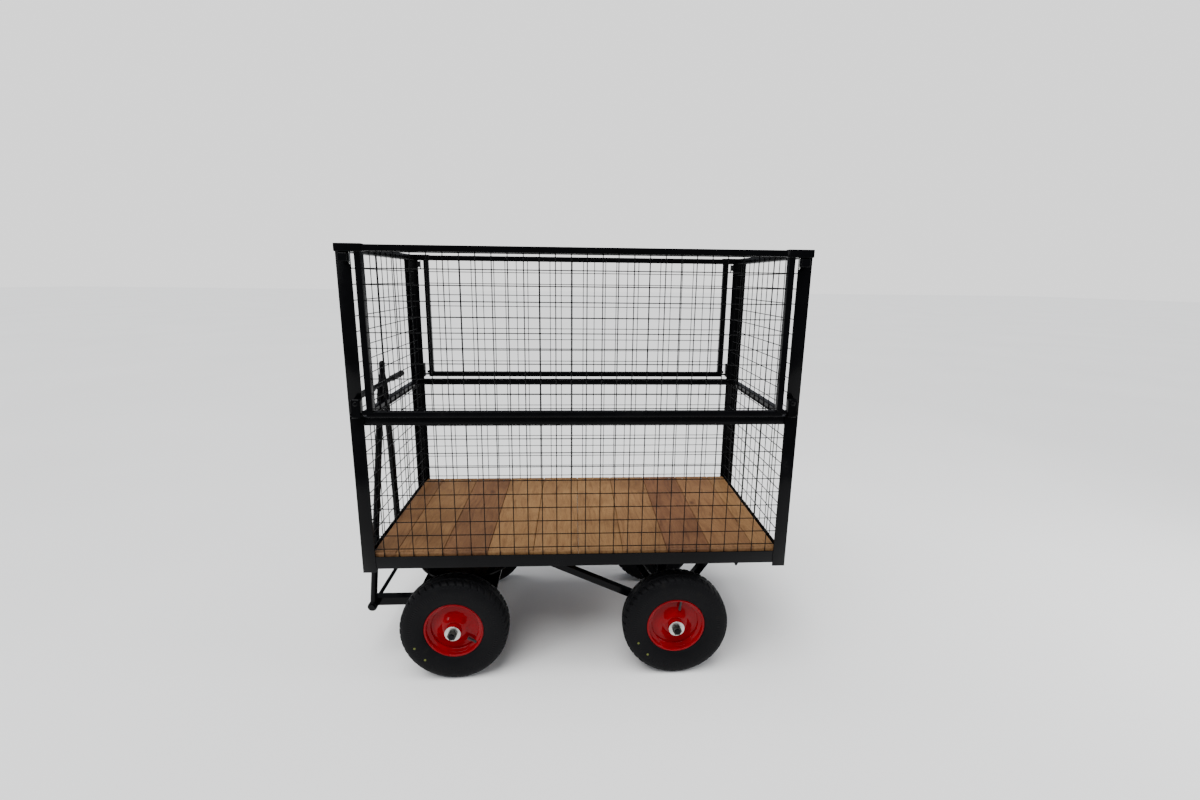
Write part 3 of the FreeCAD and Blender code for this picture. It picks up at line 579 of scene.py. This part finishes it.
def welded_mesh(node, body, run_low, run_high, rise_low, rise_high):
    """Two layers of straight wire on a 50 mm pitch, sunk nearly half a wire into each other, with a
    nugget at each crossing. run_* and rise_* are how far the wires carry on past the last crossing, into
    the frame."""
    low, high = (np.array(c) / MM - np.array([CAGE_X / MM, 0, 0]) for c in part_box(node))
    thin = int(np.argmin(high - low))
    flat = 0 if thin == 1 else 1
    middle = (low[thin] + high[thin]) / 2
    inward = -np.sign(middle)
    outer, inner = middle, middle + inward * WIRE * 0.62
    runs = np.arange(low[flat] + WIRE / 2, high[flat], PITCH)
    rises = np.arange(low[2] + WIRE / 2, high[2], PITCH)

    def at(run, rise, depth):
        point = np.zeros((len(run), 3))
        point[:, flat], point[:, 2], point[:, thin] = run, rise, depth
        return point

    one_run, one_rise = np.ones_like(runs), np.ones_like(rises)
    upright = straight_wires(at(runs, rise_low * one_run, outer), at(runs, rise_high * one_run, outer),
                             WIRE * 0.55)
    level = straight_wires(at(run_low * one_rise, rises, inner), at(run_high * one_rise, rises, inner),
                           WIRE * 0.55)
    a, b = (m.ravel() for m in np.meshgrid(runs, rises))
    normal = np.zeros(3)
    normal[thin] = 1.0
    welds = nuggets(at(a, b, (outer + inner) / 2), WIRE * 0.66, normal)
    return piece(node + "_wires", joined([upright, level, welds]), body, WIRE_PAINT,
                 (node,))


def make_meshes():
    for face in ("front", "rear"):
        welded_mesh("lower_mesh_" + face, "cart", -744.0, 744.0, 467.5, 984.0)
        welded_mesh("gate_" + face + "_mesh", "gate_" + face, -672.0, 672.0, 1027.0, 1552.0)
    for end in ("left", "right"):
        welded_mesh("lower_mesh_" + end, "cart", -312.0, 312.0, 468.0, 998.0)
        welded_mesh("upper_mesh_" + end, "cart", -312.0, 312.0, 985.0, 1552.0)


def make_gates():
    """Each gate: four welded tubes and hardware on the corners; its wire panel is made by make_meshes."""
    tube = square(GATE_TUBE, 2.0)
    sleeve = square(25.0, 2.6)
    for side, face in ((-1, "front"), (1, "rear")):
        body = "gate_" + face
        low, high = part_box("gate_" + face + "_frame")
        y = (low.y + high.y) / 2 / MM
        foot, top, half = low.z / MM, high.z / MM, (high.x - low.x) / 2 / MM
        inset = GATE_TUBE / 2
        bars = [section_bar(tube, (-half, y, z), (half, y, z), Y, Z) for z in (foot + inset, top - inset)]
        bars += [section_bar(tube, (x, y, foot + GATE_TUBE), (x, y, top - GATE_TUBE), X, Y)
                 for x in (inset - half, half - inset)]
        piece("gate_" + face + "_tubes", joined(bars), body, PAINT, ("gate_" + face + "_frame",))
        low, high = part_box("gate_" + face + "_catches")
        z, outer = (low.z + high.z) / 2 / MM, (high.x - low.x) / 2 / MM
        hoods, tips = [], []
        for s in (-1, 1):
            hoods.append(section_bar(sleeve, (s * 661.0, y, z), (s * outer, y, z), Y, Z, 1.2))
            tips.append(section_bar(square(23.4, 3.4), (s * 657.0, y, z), (s * 661.5, y, z), Y, Z, 2.0))
        piece("gate_" + face + "_catch_hoods", joined(hoods), body, PAINT,
              ("gate_" + face + "_catches",))
        piece("gate_" + face + "_catch_tips", joined(tips), body, PAINT)
        tabs = [section_bar(rounded([(-17, -6), (17, -6), (17, 6), (-17, 6)], 3.0),
                            (s * 681.0, y + side * 9.6, 1034.0), (s * 681.0, y + side * 12.6, 1034.0), X, Z)
                for s in (-1, 1)]
        piece("gate_" + face + "_hinge_tabs", joined(tabs), body, PAINT)
        eased("gate_" + face + "_hinge_pins", body, 1.2, PAINT)


def bolt_dome(x, y, z, side, radius, high):
    """A domed bolt head: a quarter ellipse turned about Y, radius wide and high deep."""
    t = np.linspace(0, np.pi / 2, 7)
    profile = np.stack([np.maximum(radius * np.cos(t), 0.01), high * np.sin(t)], 1)
    return turned(profile, (x, y, z), side, 28, closed=False)


def make_cart_hardware():
    for node, width in (("catch_blocks", 2.4), ("pedestal_legs", 1.2), ("rear_axle_legs", 1.2),
                        ("rear_axle_stays", 1.2), ("rear_axle", 1.0), ("deck_bearers", 1.0),
                        ("turntable_plate", 0.9)):
        eased(node, "cart", width, PAINT)
    eased("king_bolt", "cart", 0.9, PAINT)
    eased("rear_axle_washers", "cart", 0.7, ZINC)
    eased("rear_axle_nuts", "cart", 1.4, NUT_STEEL)
    low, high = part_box("hinge_blocks")
    face, foot, top = high.y / MM, low.z / MM, high.z / MM
    outline = rounded([(-14, foot), (14, foot), (14, top), (-14, top)], [3.0, 3.0, 6.0, 6.0], 4)
    blocks = [section_bar(outline, (x, s * HALF_WIDTH, 0), (x, s * (face - 3.0), 0), X, Z, 1.6)
              for x in (-BLOCK_X, BLOCK_X) for s in (-1, 1)]
    piece("hinge_block_bodies", joined(blocks), "cart", PAINT, ("hinge_blocks",))
    domes = [bolt_dome(x, s * (face - 3.2), 1061.0, s, 8.0, 3.2)
             for x in (-BLOCK_X, BLOCK_X) for s in (-1, 1)]
    piece("hinge_block_bolt_heads", joined(domes), "cart", PAINT, (), 60)
    rods = [tube_along([(x, s * 343.0, 1500.0), (x, s * 343.0, 1520.0), (x, s * 343.0, 1536.0)], 2.2, 12)
            for x in (-700.0, 700.0) for s in (-1, 1)]
    piece("catch_locating_pins", joined(rods), "cart", ZINC)
    lug = section_bar(rounded([(-9, 14), (9, 14), (2.5, 0), (-2.5, 0)], 1.5), (574.0, -321.0, 447.0),
                      (574.0, -316.0, 447.0), X, Z)
    piece("front_rail_lug", lug, "cart", PAINT)


def weld_bead(start, end, radius):
    """A weld run from start to end: a round bar whose radius ripples by a fifth every 3 mm."""
    start, end = np.asarray(start, float), np.asarray(end, float)
    count = max(8, int(np.linalg.norm(end - start) / 0.9))
    t = np.linspace(0, 1, count)
    ends = np.minimum(1, np.minimum(t, 1 - t) * 12 + 0.25)
    ripple = 1 + 0.2 * np.abs(np.sin(t * np.linalg.norm(end - start) / 3.0 * np.pi))
    return tube_along(start + t[:, None] * (end - start), radius * ripple * ends, 8)


def make_welds():
    beads = []
    for sx in (-1, 1):
        for sy in (-1, 1):
            x, y = sx * HALF_LENGTH, sy * HALF_WIDTH
            inset = 1.7
            heel = (x - sx * inset, y - sy * inset, SPLIT)
            beads.append(weld_bead(heel, (x - sx * LEG, y - sy * inset, SPLIT), 1.4))
            beads.append(weld_bead(heel, (x - sx * inset, y - sy * LEG, SPLIT), 1.4))
            beads.append(weld_bead((sx * 705.0, y, 463.0), (sx * 705.0, y, 505.0), 1.1))
            beads.append(weld_bead((x - sx * 1.9, sy * 282.0, 463.0), (x - sx * 1.9, sy * 282.0, 490.0), 1.5))
            inner = y - sy * WALL
            top_weld = inner - sy * 1.0
            beads.append(weld_bead((sx * 720.0, top_weld, 1536.0), (sx * 745.0, top_weld, 1536.0), 2.0))
            beads.append(weld_bead((sx * 745.0, inner - sy * 25.0, 983.0), (sx * 745.0, inner, 983.0), 2.2))
            beads.append(weld_bead((sx * 705.0, inner, 983.0), (sx * 742.0, inner, 983.0), 2.0))
    piece("cage_weld_beads", joined(beads), "cart", PAINT, (), 50)
    for side, face in ((-1, "front"), (1, "rear")):
        low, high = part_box("gate_" + face + "_frame")
        edge = (low.y if side < 0 else high.y) / MM
        runs = [weld_bead((s * 664.5, edge, z), (s * 683.5, edge, z), 1.6) for s in (-1, 1)
                for z in (low.z / MM + 20, high.z / MM - 20)]
        piece("gate_" + face + "_weld_beads", joined(runs), "gate_" + face, PAINT, (), 50)


def make_deck():
    """Ten boards across the cart, each with its own figure and tone from a number in a point attribute."""
    low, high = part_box("deck_boards")
    top, thick = high.z / MM, (high.z - low.z) / MM
    edge, half = (high.x - low.x) / 2 / MM, (high.y - low.y) / 2 / MM
    seams = np.concatenate([[-edge], (np.arange(9) - 4) * BOARD, [edge]])
    tones = (3.52, 7.40, 1.62, 5.22, 2.20, 9.10, 4.38, 6.72, 8.50, 0.30)
    shapes, numbers, screws = [], [], []
    for k, (a, b) in enumerate(zip(seams, seams[1:])):
        half_wide = (b - a) / 2 - 0.15
        worn = half_wide - 1.1
        outline = rounded([(-half_wide, -thick), (half_wide, -thick), (half_wide, -7.0),
                           (worn, 0), (-worn, 0), (-half_wide, -7.0)], 1.6)
        middle = (a + b) / 2
        shape = section_bar(outline, (middle, -half, top), (middle, half, top), X, Z, 1.0)
        shapes.append(shape)
        numbers.append(np.full(len(shape[0]), tones[k]))
        for y in (half - 22.0, 22.0 - half):
            for x in (middle - half_wide * 0.6, middle + half_wide * 0.6):
                screws.append((x, y, top))
    piece("deck_planks", joined(shapes), "cart", PINE, ("deck_boards",),
          attribute=("board", np.concatenate(numbers)))
    heads = [screw_head(s) for s in screws]
    piece("deck_screws", joined(heads), "cart", ZINC, (), 30)


def screw_head(centre):
    """A countersunk screw head: a shallow disc 7 mm across with a sunk round recess in its middle."""
    t = np.linspace(0, 2 * np.pi, 16, endpoint=False)
    rings = [(3.5, -1.0), (3.5, 0.05), (3.1, 0.25), (1.5, 0.25), (1.2, -0.6), (0.01, -0.6)]
    points = np.stack([np.stack([r * np.cos(t), r * np.sin(t), z + 0 * t], 1) for r, z in rings])
    ends = np.array([np.arange(16), np.arange(16)[::-1] + 16 * 5])
    faces = [grid_faces(6, 16, False, True)[:, ::-1], ends[:, ::-1]]
    return points.reshape(-1, 3) + np.array(centre), faces


# ---------------------------------------------------------------- wheels

def tyre_shape(centre, side):
    """Radius and half width follow a smooth line from one bead over the crown to the other. The tread is
    cut 4.6 mm deep by two zigzag grooves round the crown and by slanted slots across each shoulder, 44 to
    the turn, with twice as many fine ribs below them."""
    h = 46.0
    crown = WHEEL_RADIUS
    half = np.array([(107.4, 28.5), (109.4, 33.6), (114, 37.0), (122, 40.3), (132, 42.8), (142, 44.8),
                     (156, 45.6), (170, 45.2), (180, 43.2), (187, 40), (192, 35.5), (195.3, 29),
                     (197, 21), (197.8, 12), (198, 0)])
    half[:, 0] += crown - 198.0
    line = np.concatenate([half, half[-2::-1] * [1, -1]])
    count = 130
    fine = smooth_line(line, 1200)
    step = np.concatenate([[0], np.cumsum(np.linalg.norm(np.diff(fine, axis=0), axis=1))])
    weight = np.concatenate([[0], np.cumsum(np.diff(step) * np.where(fine[1:, 0] > 180, 1.9, 0.8))])
    profile = np.stack([np.interp(np.linspace(0, weight[-1], count), weight, fine[:, i]) for i in (0, 1)], 1)
    share = np.interp(np.linspace(0, weight[-1], count), weight, step / step[-1])
    segments = 616
    t = np.linspace(0, 2 * np.pi, segments, endpoint=False)[:, None]
    r, o = profile[None, :, 0], profile[None, :, 1]
    lug = t * 44 / (2 * np.pi)
    zigzag = 2.6 * (4 * np.abs((lug % 1) - 0.5) - 1)

    def groove(distance, width):
        return np.clip(1.5 - np.abs(distance) / width * 1.5, 0, 1)

    round_cut = np.maximum(groove(o - 12 - zigzag, 3.4), groove(o + 12 + zigzag, 3.4))
    phase = (lug + np.abs(o) * 0.018 + 0.5 * (o > 0)) % 1
    slot_cut = groove((phase - 0.5) * 2 * np.pi * crown / 44, 4.0) * np.clip((np.abs(o) - 13) / 4, 0, 1)
    slot_cut = slot_cut * np.clip((39 - np.abs(o)) / 3, 0, 1)
    shoulder = np.clip((np.abs(o) - 38.5) / 1.5, 0, 1) * np.clip((r - (crown - 17)) / 2, 0, 1)
    fine_ribs = 0.38 * shoulder * (0.5 + 0.5 * np.cos(lug * 2 * 2 * np.pi))
    fade = np.clip((r - (crown - 24)) / 10, 0, 1)
    depth = 4.6 * np.maximum(np.maximum(round_cut, slot_cut) * fade, fine_ribs)
    rings = 0.7 * sum(np.clip(1 - np.abs(r - (crown - 198) - raised) / 1.6, 0, 1)
                      for raised in (127, 133, 166, 171))
    radius = r - depth
    width = o + np.sign(o) * (rings - depth * 0.25 * (np.abs(o) > 34))
    width = np.clip(width, -h, h)
    inner = np.array([(106.6, -27.8), (116, -30.0), (116, 30.0), (106.6, 27.8)])
    inner[:, 0] += crown - 198
    ring = np.broadcast_to(inner, (segments, 4, 2))
    all_r = np.concatenate([radius, ring[:, :, 0]], 1)
    all_o = np.concatenate([width + 0 * t, ring[:, :, 1]], 1)
    points = np.stack([all_r * np.cos(t), side * all_o, all_r * np.sin(t)], -1)
    columns = count + 4
    uv = np.stack(np.broadcast_arrays(t / (2 * np.pi), np.concatenate([share, [0, 0, 1, 1]])[None]), -1)
    faces = grid_faces(segments, columns, True, True)
    if side < 0:
        faces = faces[:, ::-1]
    return (points.reshape(-1, 3) + np.array(centre), [faces]), uv.reshape(-1, 2)


def rim_shape(centre, side):
    """Pressed sheet rings turned about the axle: band with rolled flanges and a dropped centre, dished disc,
    the hub tube, and a weld ring where the disc meets the hub."""
    band = softened_line([(107.6, 30.6), (105.4, 32.6), (101.6, 32.4), (100.6, 28.0), (100.4, 20.0),
                          (88.0, 15.0), (88.0, -15.0), (100.4, -20.0), (100.6, -28.0), (101.6, -32.4),
                          (105.4, -32.6), (107.6, -30.6)], 3.0)
    dish = softened_line([(27.5, 29.0), (35.0, 28.6), (42.0, 24.5), (52.0, 16.5), (64.0, 11.0), (76.0, 8.6),
                          (89.0, 8.2)], 5.0, 6)
    hub = rounded([(23.6, 44.6), (28.4, 44.6), (28.4, -44.6), (23.6, -44.6)], 0.9)
    collar = weld_ring(28.6, 28.4, 1.9)
    parts = [turned(sheet_outline(line, 2.8), centre, side, 128) for line in (band, dish)]
    parts += [turned(hub, centre, side, 96), turned(collar, centre, side, 96)]
    return joined(parts)


def weld_ring(radius, along, size):
    """A fillet weld's round section at a radius and a place along the axle."""
    t = np.linspace(0, 2 * np.pi, 10, endpoint=False)
    return np.stack([radius + size * np.cos(t), along + size * np.sin(t)], 1)


def valve_shape(centre, side, angle):
    """A valve stem that leans out of the band towards the hub: rubber base, stem and ridged cap."""
    a = math.radians(angle)
    out = np.array([math.cos(a), 0, math.sin(a)])
    foot, tip = np.array(centre) + out * 96 + Y * side * 15, np.array(centre) + out * 60 + Y * side * 25
    t = np.array([0, 0.12, 0.2, 0.62, 0.63, 0.66, 0.7, 0.74, 0.78, 0.82, 0.86, 0.9, 0.96, 1.0])
    r = np.array([7.0, 6.2, 4.6, 4.2, 5.0, 5.2, 4.9, 5.2, 4.9, 5.2, 4.9, 5.2, 4.6, 2.5])
    return tube_along(foot + t[:, None] * (tip - foot), r, 20)


def dots_shape(centre, side):
    """Two dabs of paint low on the side wall: thin discs 9 mm across, square to the wall."""
    shapes = []
    for angle, radius in ((203.0, 152.0), (226.0, 150.0)):
        a = math.radians(angle)
        middle = np.array(centre) + np.array([radius * math.cos(a), 0, radius * math.sin(a)])
        shapes.append(turned([(4.6, 44.0), (4.4, 45.9), (0.01, 46.0)], middle, side, 12, closed=False))
    return joined(shapes)


def make_wheels():
    angles = {"front_near": -38.0, "front_far": 150.0, "rear_near": 78.0, "rear_far": 250.0}
    for name, angle in angles.items():
        wheel = "wheel_" + name
        low, high = (np.array(c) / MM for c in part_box(wheel + "_tyre"))
        centre = (low + high) / 2 - np.array([CAGE_X / MM, 0, 0])
        side = -1 if centre[1] < 0 else 1
        shape, uv = tyre_shape(centre, side)
        piece(wheel + "_treaded_tyre", shape, wheel, RUBBER, (wheel + "_tyre",), 40, uv)
        rim = rim_shape(centre, side)
        piece(wheel + "_pressed_rim", rim, wheel, RED, (wheel + "_rim",), 40)
        piece(wheel + "_valve", valve_shape(centre, side, angle), wheel, GRIP, (), 40)
        piece(wheel + "_paint_dots", dots_shape(centre, side), wheel, DOT, (), 40)
        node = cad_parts[wheel + "_bearings"]
        node.data.materials.clear()
        node.data.materials.append(BEARING)


# ---------------------------------------------------------------- bogie and handle

PIVOT = np.array([-801.0, 0.0, 198.0])
GRIP_CENTRE = np.array([-766.0, 0.0, 1054.0])
GRIP_BAR_HALF = 208.0
LEG_FOOT_Y = 154.0


def handle_point(y, z):
    """A point of the leaning plane through the pivot and the grip."""
    share = (z - PIVOT[2]) / (GRIP_CENTRE[2] - PIVOT[2])
    return np.array([PIVOT[0] + share * (GRIP_CENTRE[0] - PIVOT[0]), y, z])


def make_bogie():
    for node, width in (("bogie_plate", 0.9), ("bogie_cheeks", 0.9), ("turntable_ring", 0.9),
                        ("drawbar_arms", 0.8), ("front_axle", 1.0)):
        eased(node, "bogie", width, PAINT)
    eased("handle_pivot_rod", "bogie", 1.6, PAINT)
    eased("front_axle_washers", "bogie", 0.7, ZINC)
    eased("front_axle_nuts", "bogie", 1.4, NUT_STEEL)


def make_handle():
    """Two bent legs that run together into a stem with a domed top, a cross bar, eyes round the pivot."""
    parts = []
    for side in (-1, 1):
        line = [handle_point(side * y, z)
                for y, z in ((155.6, 208.0), (89.0, 620.0), (27.0, 1000.0), (19.5, 1042.0), (11.0, 1066.0),
                             (3.5, 1088.0), (1.0, 1100.0))]
        path = smooth_line(line, 60)
        radii = np.interp(np.linspace(0, 1, 60), [0, 0.5, 0.85, 1], [12.5, 12.5, 10.6, 9.5])
        parts.append(tube_along(path, radii, 28))
        ring = rounded([(8.1, -15), (18, -15), (18, 15), (8.1, 15)], 1.6)
        parts.append(turned(ring, PIVOT + Y * side * 157.0, 1, 48))
        parts.append(weld_bead(handle_point(side * LEG_FOOT_Y - 11.0, 216.5),
                               handle_point(side * LEG_FOOT_Y + 11.0, 216.5), 2.2))
    dome = np.linspace(0, np.pi / 2, 8)
    heights = np.concatenate([np.linspace(1058.0, 1134.0, 12), 1134.0 + 10.0 * np.sin(dome[1:])])
    radii = np.concatenate([np.full(12, 11.0), np.maximum(11.0 * np.cos(dome[1:]), 0.3)])
    parts.append(tube_along([handle_point(0, z) for z in heights], radii, 28))
    bar = [handle_point(y, GRIP_CENTRE[2]) for y in np.linspace(-GRIP_BAR_HALF, GRIP_BAR_HALF, 9)]
    parts.append(tube_along(bar, 9.5, 28))
    piece("tow_handle_tube", joined(parts), "tow_handle", PAINT, ("handle_frame",), 45)
    grips = []
    for side in (-1, 1):
        along = np.array([96.0, 97.0, 100.0, 101.5, *np.arange(104.0, 205.0, 1.5), 207.0, 211.0, 214.0,
                          215.6, 216.0])
        shape = np.full(len(along), 12.2)
        body = (along > 102) & (along < 206)
        shape[body] = 12.4 - 0.55 * (np.abs(np.sin((along[body] - 104) / 6.0 * np.pi)) < 0.45)
        shape[:4] = [12.0, 13.0, 13.0, 12.2]
        shape[-5:] = [12.8, 12.8, 11.0, 7.0, 0.3]
        shape[0] = 9.6
        grips.append(tube_along([handle_point(side * a, GRIP_CENTRE[2]) for a in along], shape, 32))
    piece("ribbed_grip_sleeves", joined(grips), "tow_handle", GRIP, ("handle_grips",), 35)


make_cage_frame()
make_meshes()
make_gates()
make_cart_hardware()
make_welds()
make_deck()
make_wheels()
make_bogie()
make_handle()

# ---------------------------------------------------------------- studio

def studio_floor():
    """A wide pale floor of matt painted board."""
    material, tree = new_material("pale_matt_painted_floor")
    where = add(tree, COORDINATES).outputs["Object"]
    cloud = add(tree, NOISE, {"Scale": 0.6, "Detail": 2.0}, {"Vector": where})
    colour = add(tree, RAMP, {"stops": [(0.3, "#f1f1f0"), (0.7, "#f5f5f4")]},
                 {"Fac": cloud.outputs["Fac"]}).outputs["Color"]
    shader = add(tree, SHADER, {"Roughness": 0.9, "Specular IOR Level": 0.1},
                 {"Base Color": colour})
    add(tree, OUTPUT, {}, {"Surface": shader.outputs["BSDF"]})
    mesh = bpy.data.meshes.new("studio_floor")
    r = 60.0
    mesh.from_pydata([(-r, -2.7, 0), (r, -2.7, 0), (r, r, 0), (-r, r, 0)], [], [(0, 1, 2, 3)])
    mesh.materials.append(material)
    floor = bpy.data.objects.new("studio_floor", mesh)
    bpy.context.scene.collection.objects.link(floor)


def soft_box(name, where, target, size, power):
    lamp = bpy.data.lights.new(name, "AREA")
    lamp.shape = "RECTANGLE"
    lamp.size, lamp.size_y = size
    lamp.energy = power
    obj = bpy.data.objects.new(name, lamp)
    away = np.array(where, float) - np.array(target, float)
    away /= np.linalg.norm(away)
    right = np.cross([0, 0, 1.0], away)
    right /= np.linalg.norm(right)
    up = np.cross(away, right)
    turn = np.eye(4)
    turn[:3, 0], turn[:3, 1], turn[:3, 2], turn[:3, 3] = right, up, away, where
    obj.matrix_world = Matrix(turn.tolist())
    bpy.context.scene.collection.objects.link(obj)


def studio_light():
    """A pale room: white where the eye sees past the floor, dimmer as a light, with soft boxes above."""
    world = bpy.data.worlds.new("pale_studio")
    bpy.context.scene.world = world
    world.use_nodes = True
    tree = world.node_tree
    tree.nodes.clear()
    seen = add(tree, "ShaderNodeLightPath").outputs["Is Camera Ray"]
    room = add(tree, "ShaderNodeBackground", {"Color": linear("#dfe4ee"), "Strength": 0.35})
    backdrop = add(tree, "ShaderNodeBackground", {"Color": (1, 1, 1, 1), "Strength": 1.5})
    both = add(tree, "ShaderNodeMixShader", {}, {0: seen, 1: room.outputs[0], 2: backdrop.outputs[0]})
    add(tree, "ShaderNodeOutputWorld", {}, {"Surface": both.outputs[0]})
    sky_lamp = bpy.data.lights.new("high_soft_light", "SUN")
    sky_lamp.energy = 4.3
    sky_lamp.angle = math.radians(50)
    high = bpy.data.objects.new("high_soft_light", sky_lamp)
    high.matrix_world = Matrix.Rotation(math.radians(14), 4, "X") @ Matrix.Rotation(math.radians(-12), 4, "Y")
    bpy.context.scene.collection.objects.link(high)
    soft_box("left_soft_box", (-3.2, -2.6, 2.4), (0, 0, 0.8), (1.0, 1.8), 40)
    soft_box("right_soft_box", (4.0, -0.9, 2.0), (0.4, 0, 0.9), (1.2, 2.0), 60)


def studio_camera():
    """A wide lens at the cart's front, a little above its top rail and left of its middle."""
    yaw, pitch, roll = 0.0487, math.radians(10.86), -0.0114
    forward = np.array([math.sin(yaw) * math.cos(pitch), math.cos(yaw) * math.cos(pitch), -math.sin(pitch)])
    right = np.array([math.cos(yaw), -math.sin(yaw), 0.0])
    down = np.cross(forward, right)
    r2 = math.cos(roll) * right + math.sin(roll) * down
    d2 = -math.sin(roll) * right + math.cos(roll) * down
    turn = np.eye(4)
    turn[:3, 0], turn[:3, 1], turn[:3, 2], turn[:3, 3] = r2, -d2, -forward, (0.0195, -1.8795, 1.4612)
    data = bpy.data.cameras.new("studio_camera")
    data.sensor_width = 36.0
    data.lens = 14.42
    data.shift_x, data.shift_y = 0.0022, -0.0232
    data.clip_start = 0.02
    camera = bpy.data.objects.new("studio_camera", data)
    camera.matrix_world = Matrix(turn.tolist())
    bpy.context.scene.collection.objects.link(camera)
    bpy.context.scene.camera = camera


studio_floor()
studio_light()
studio_camera()
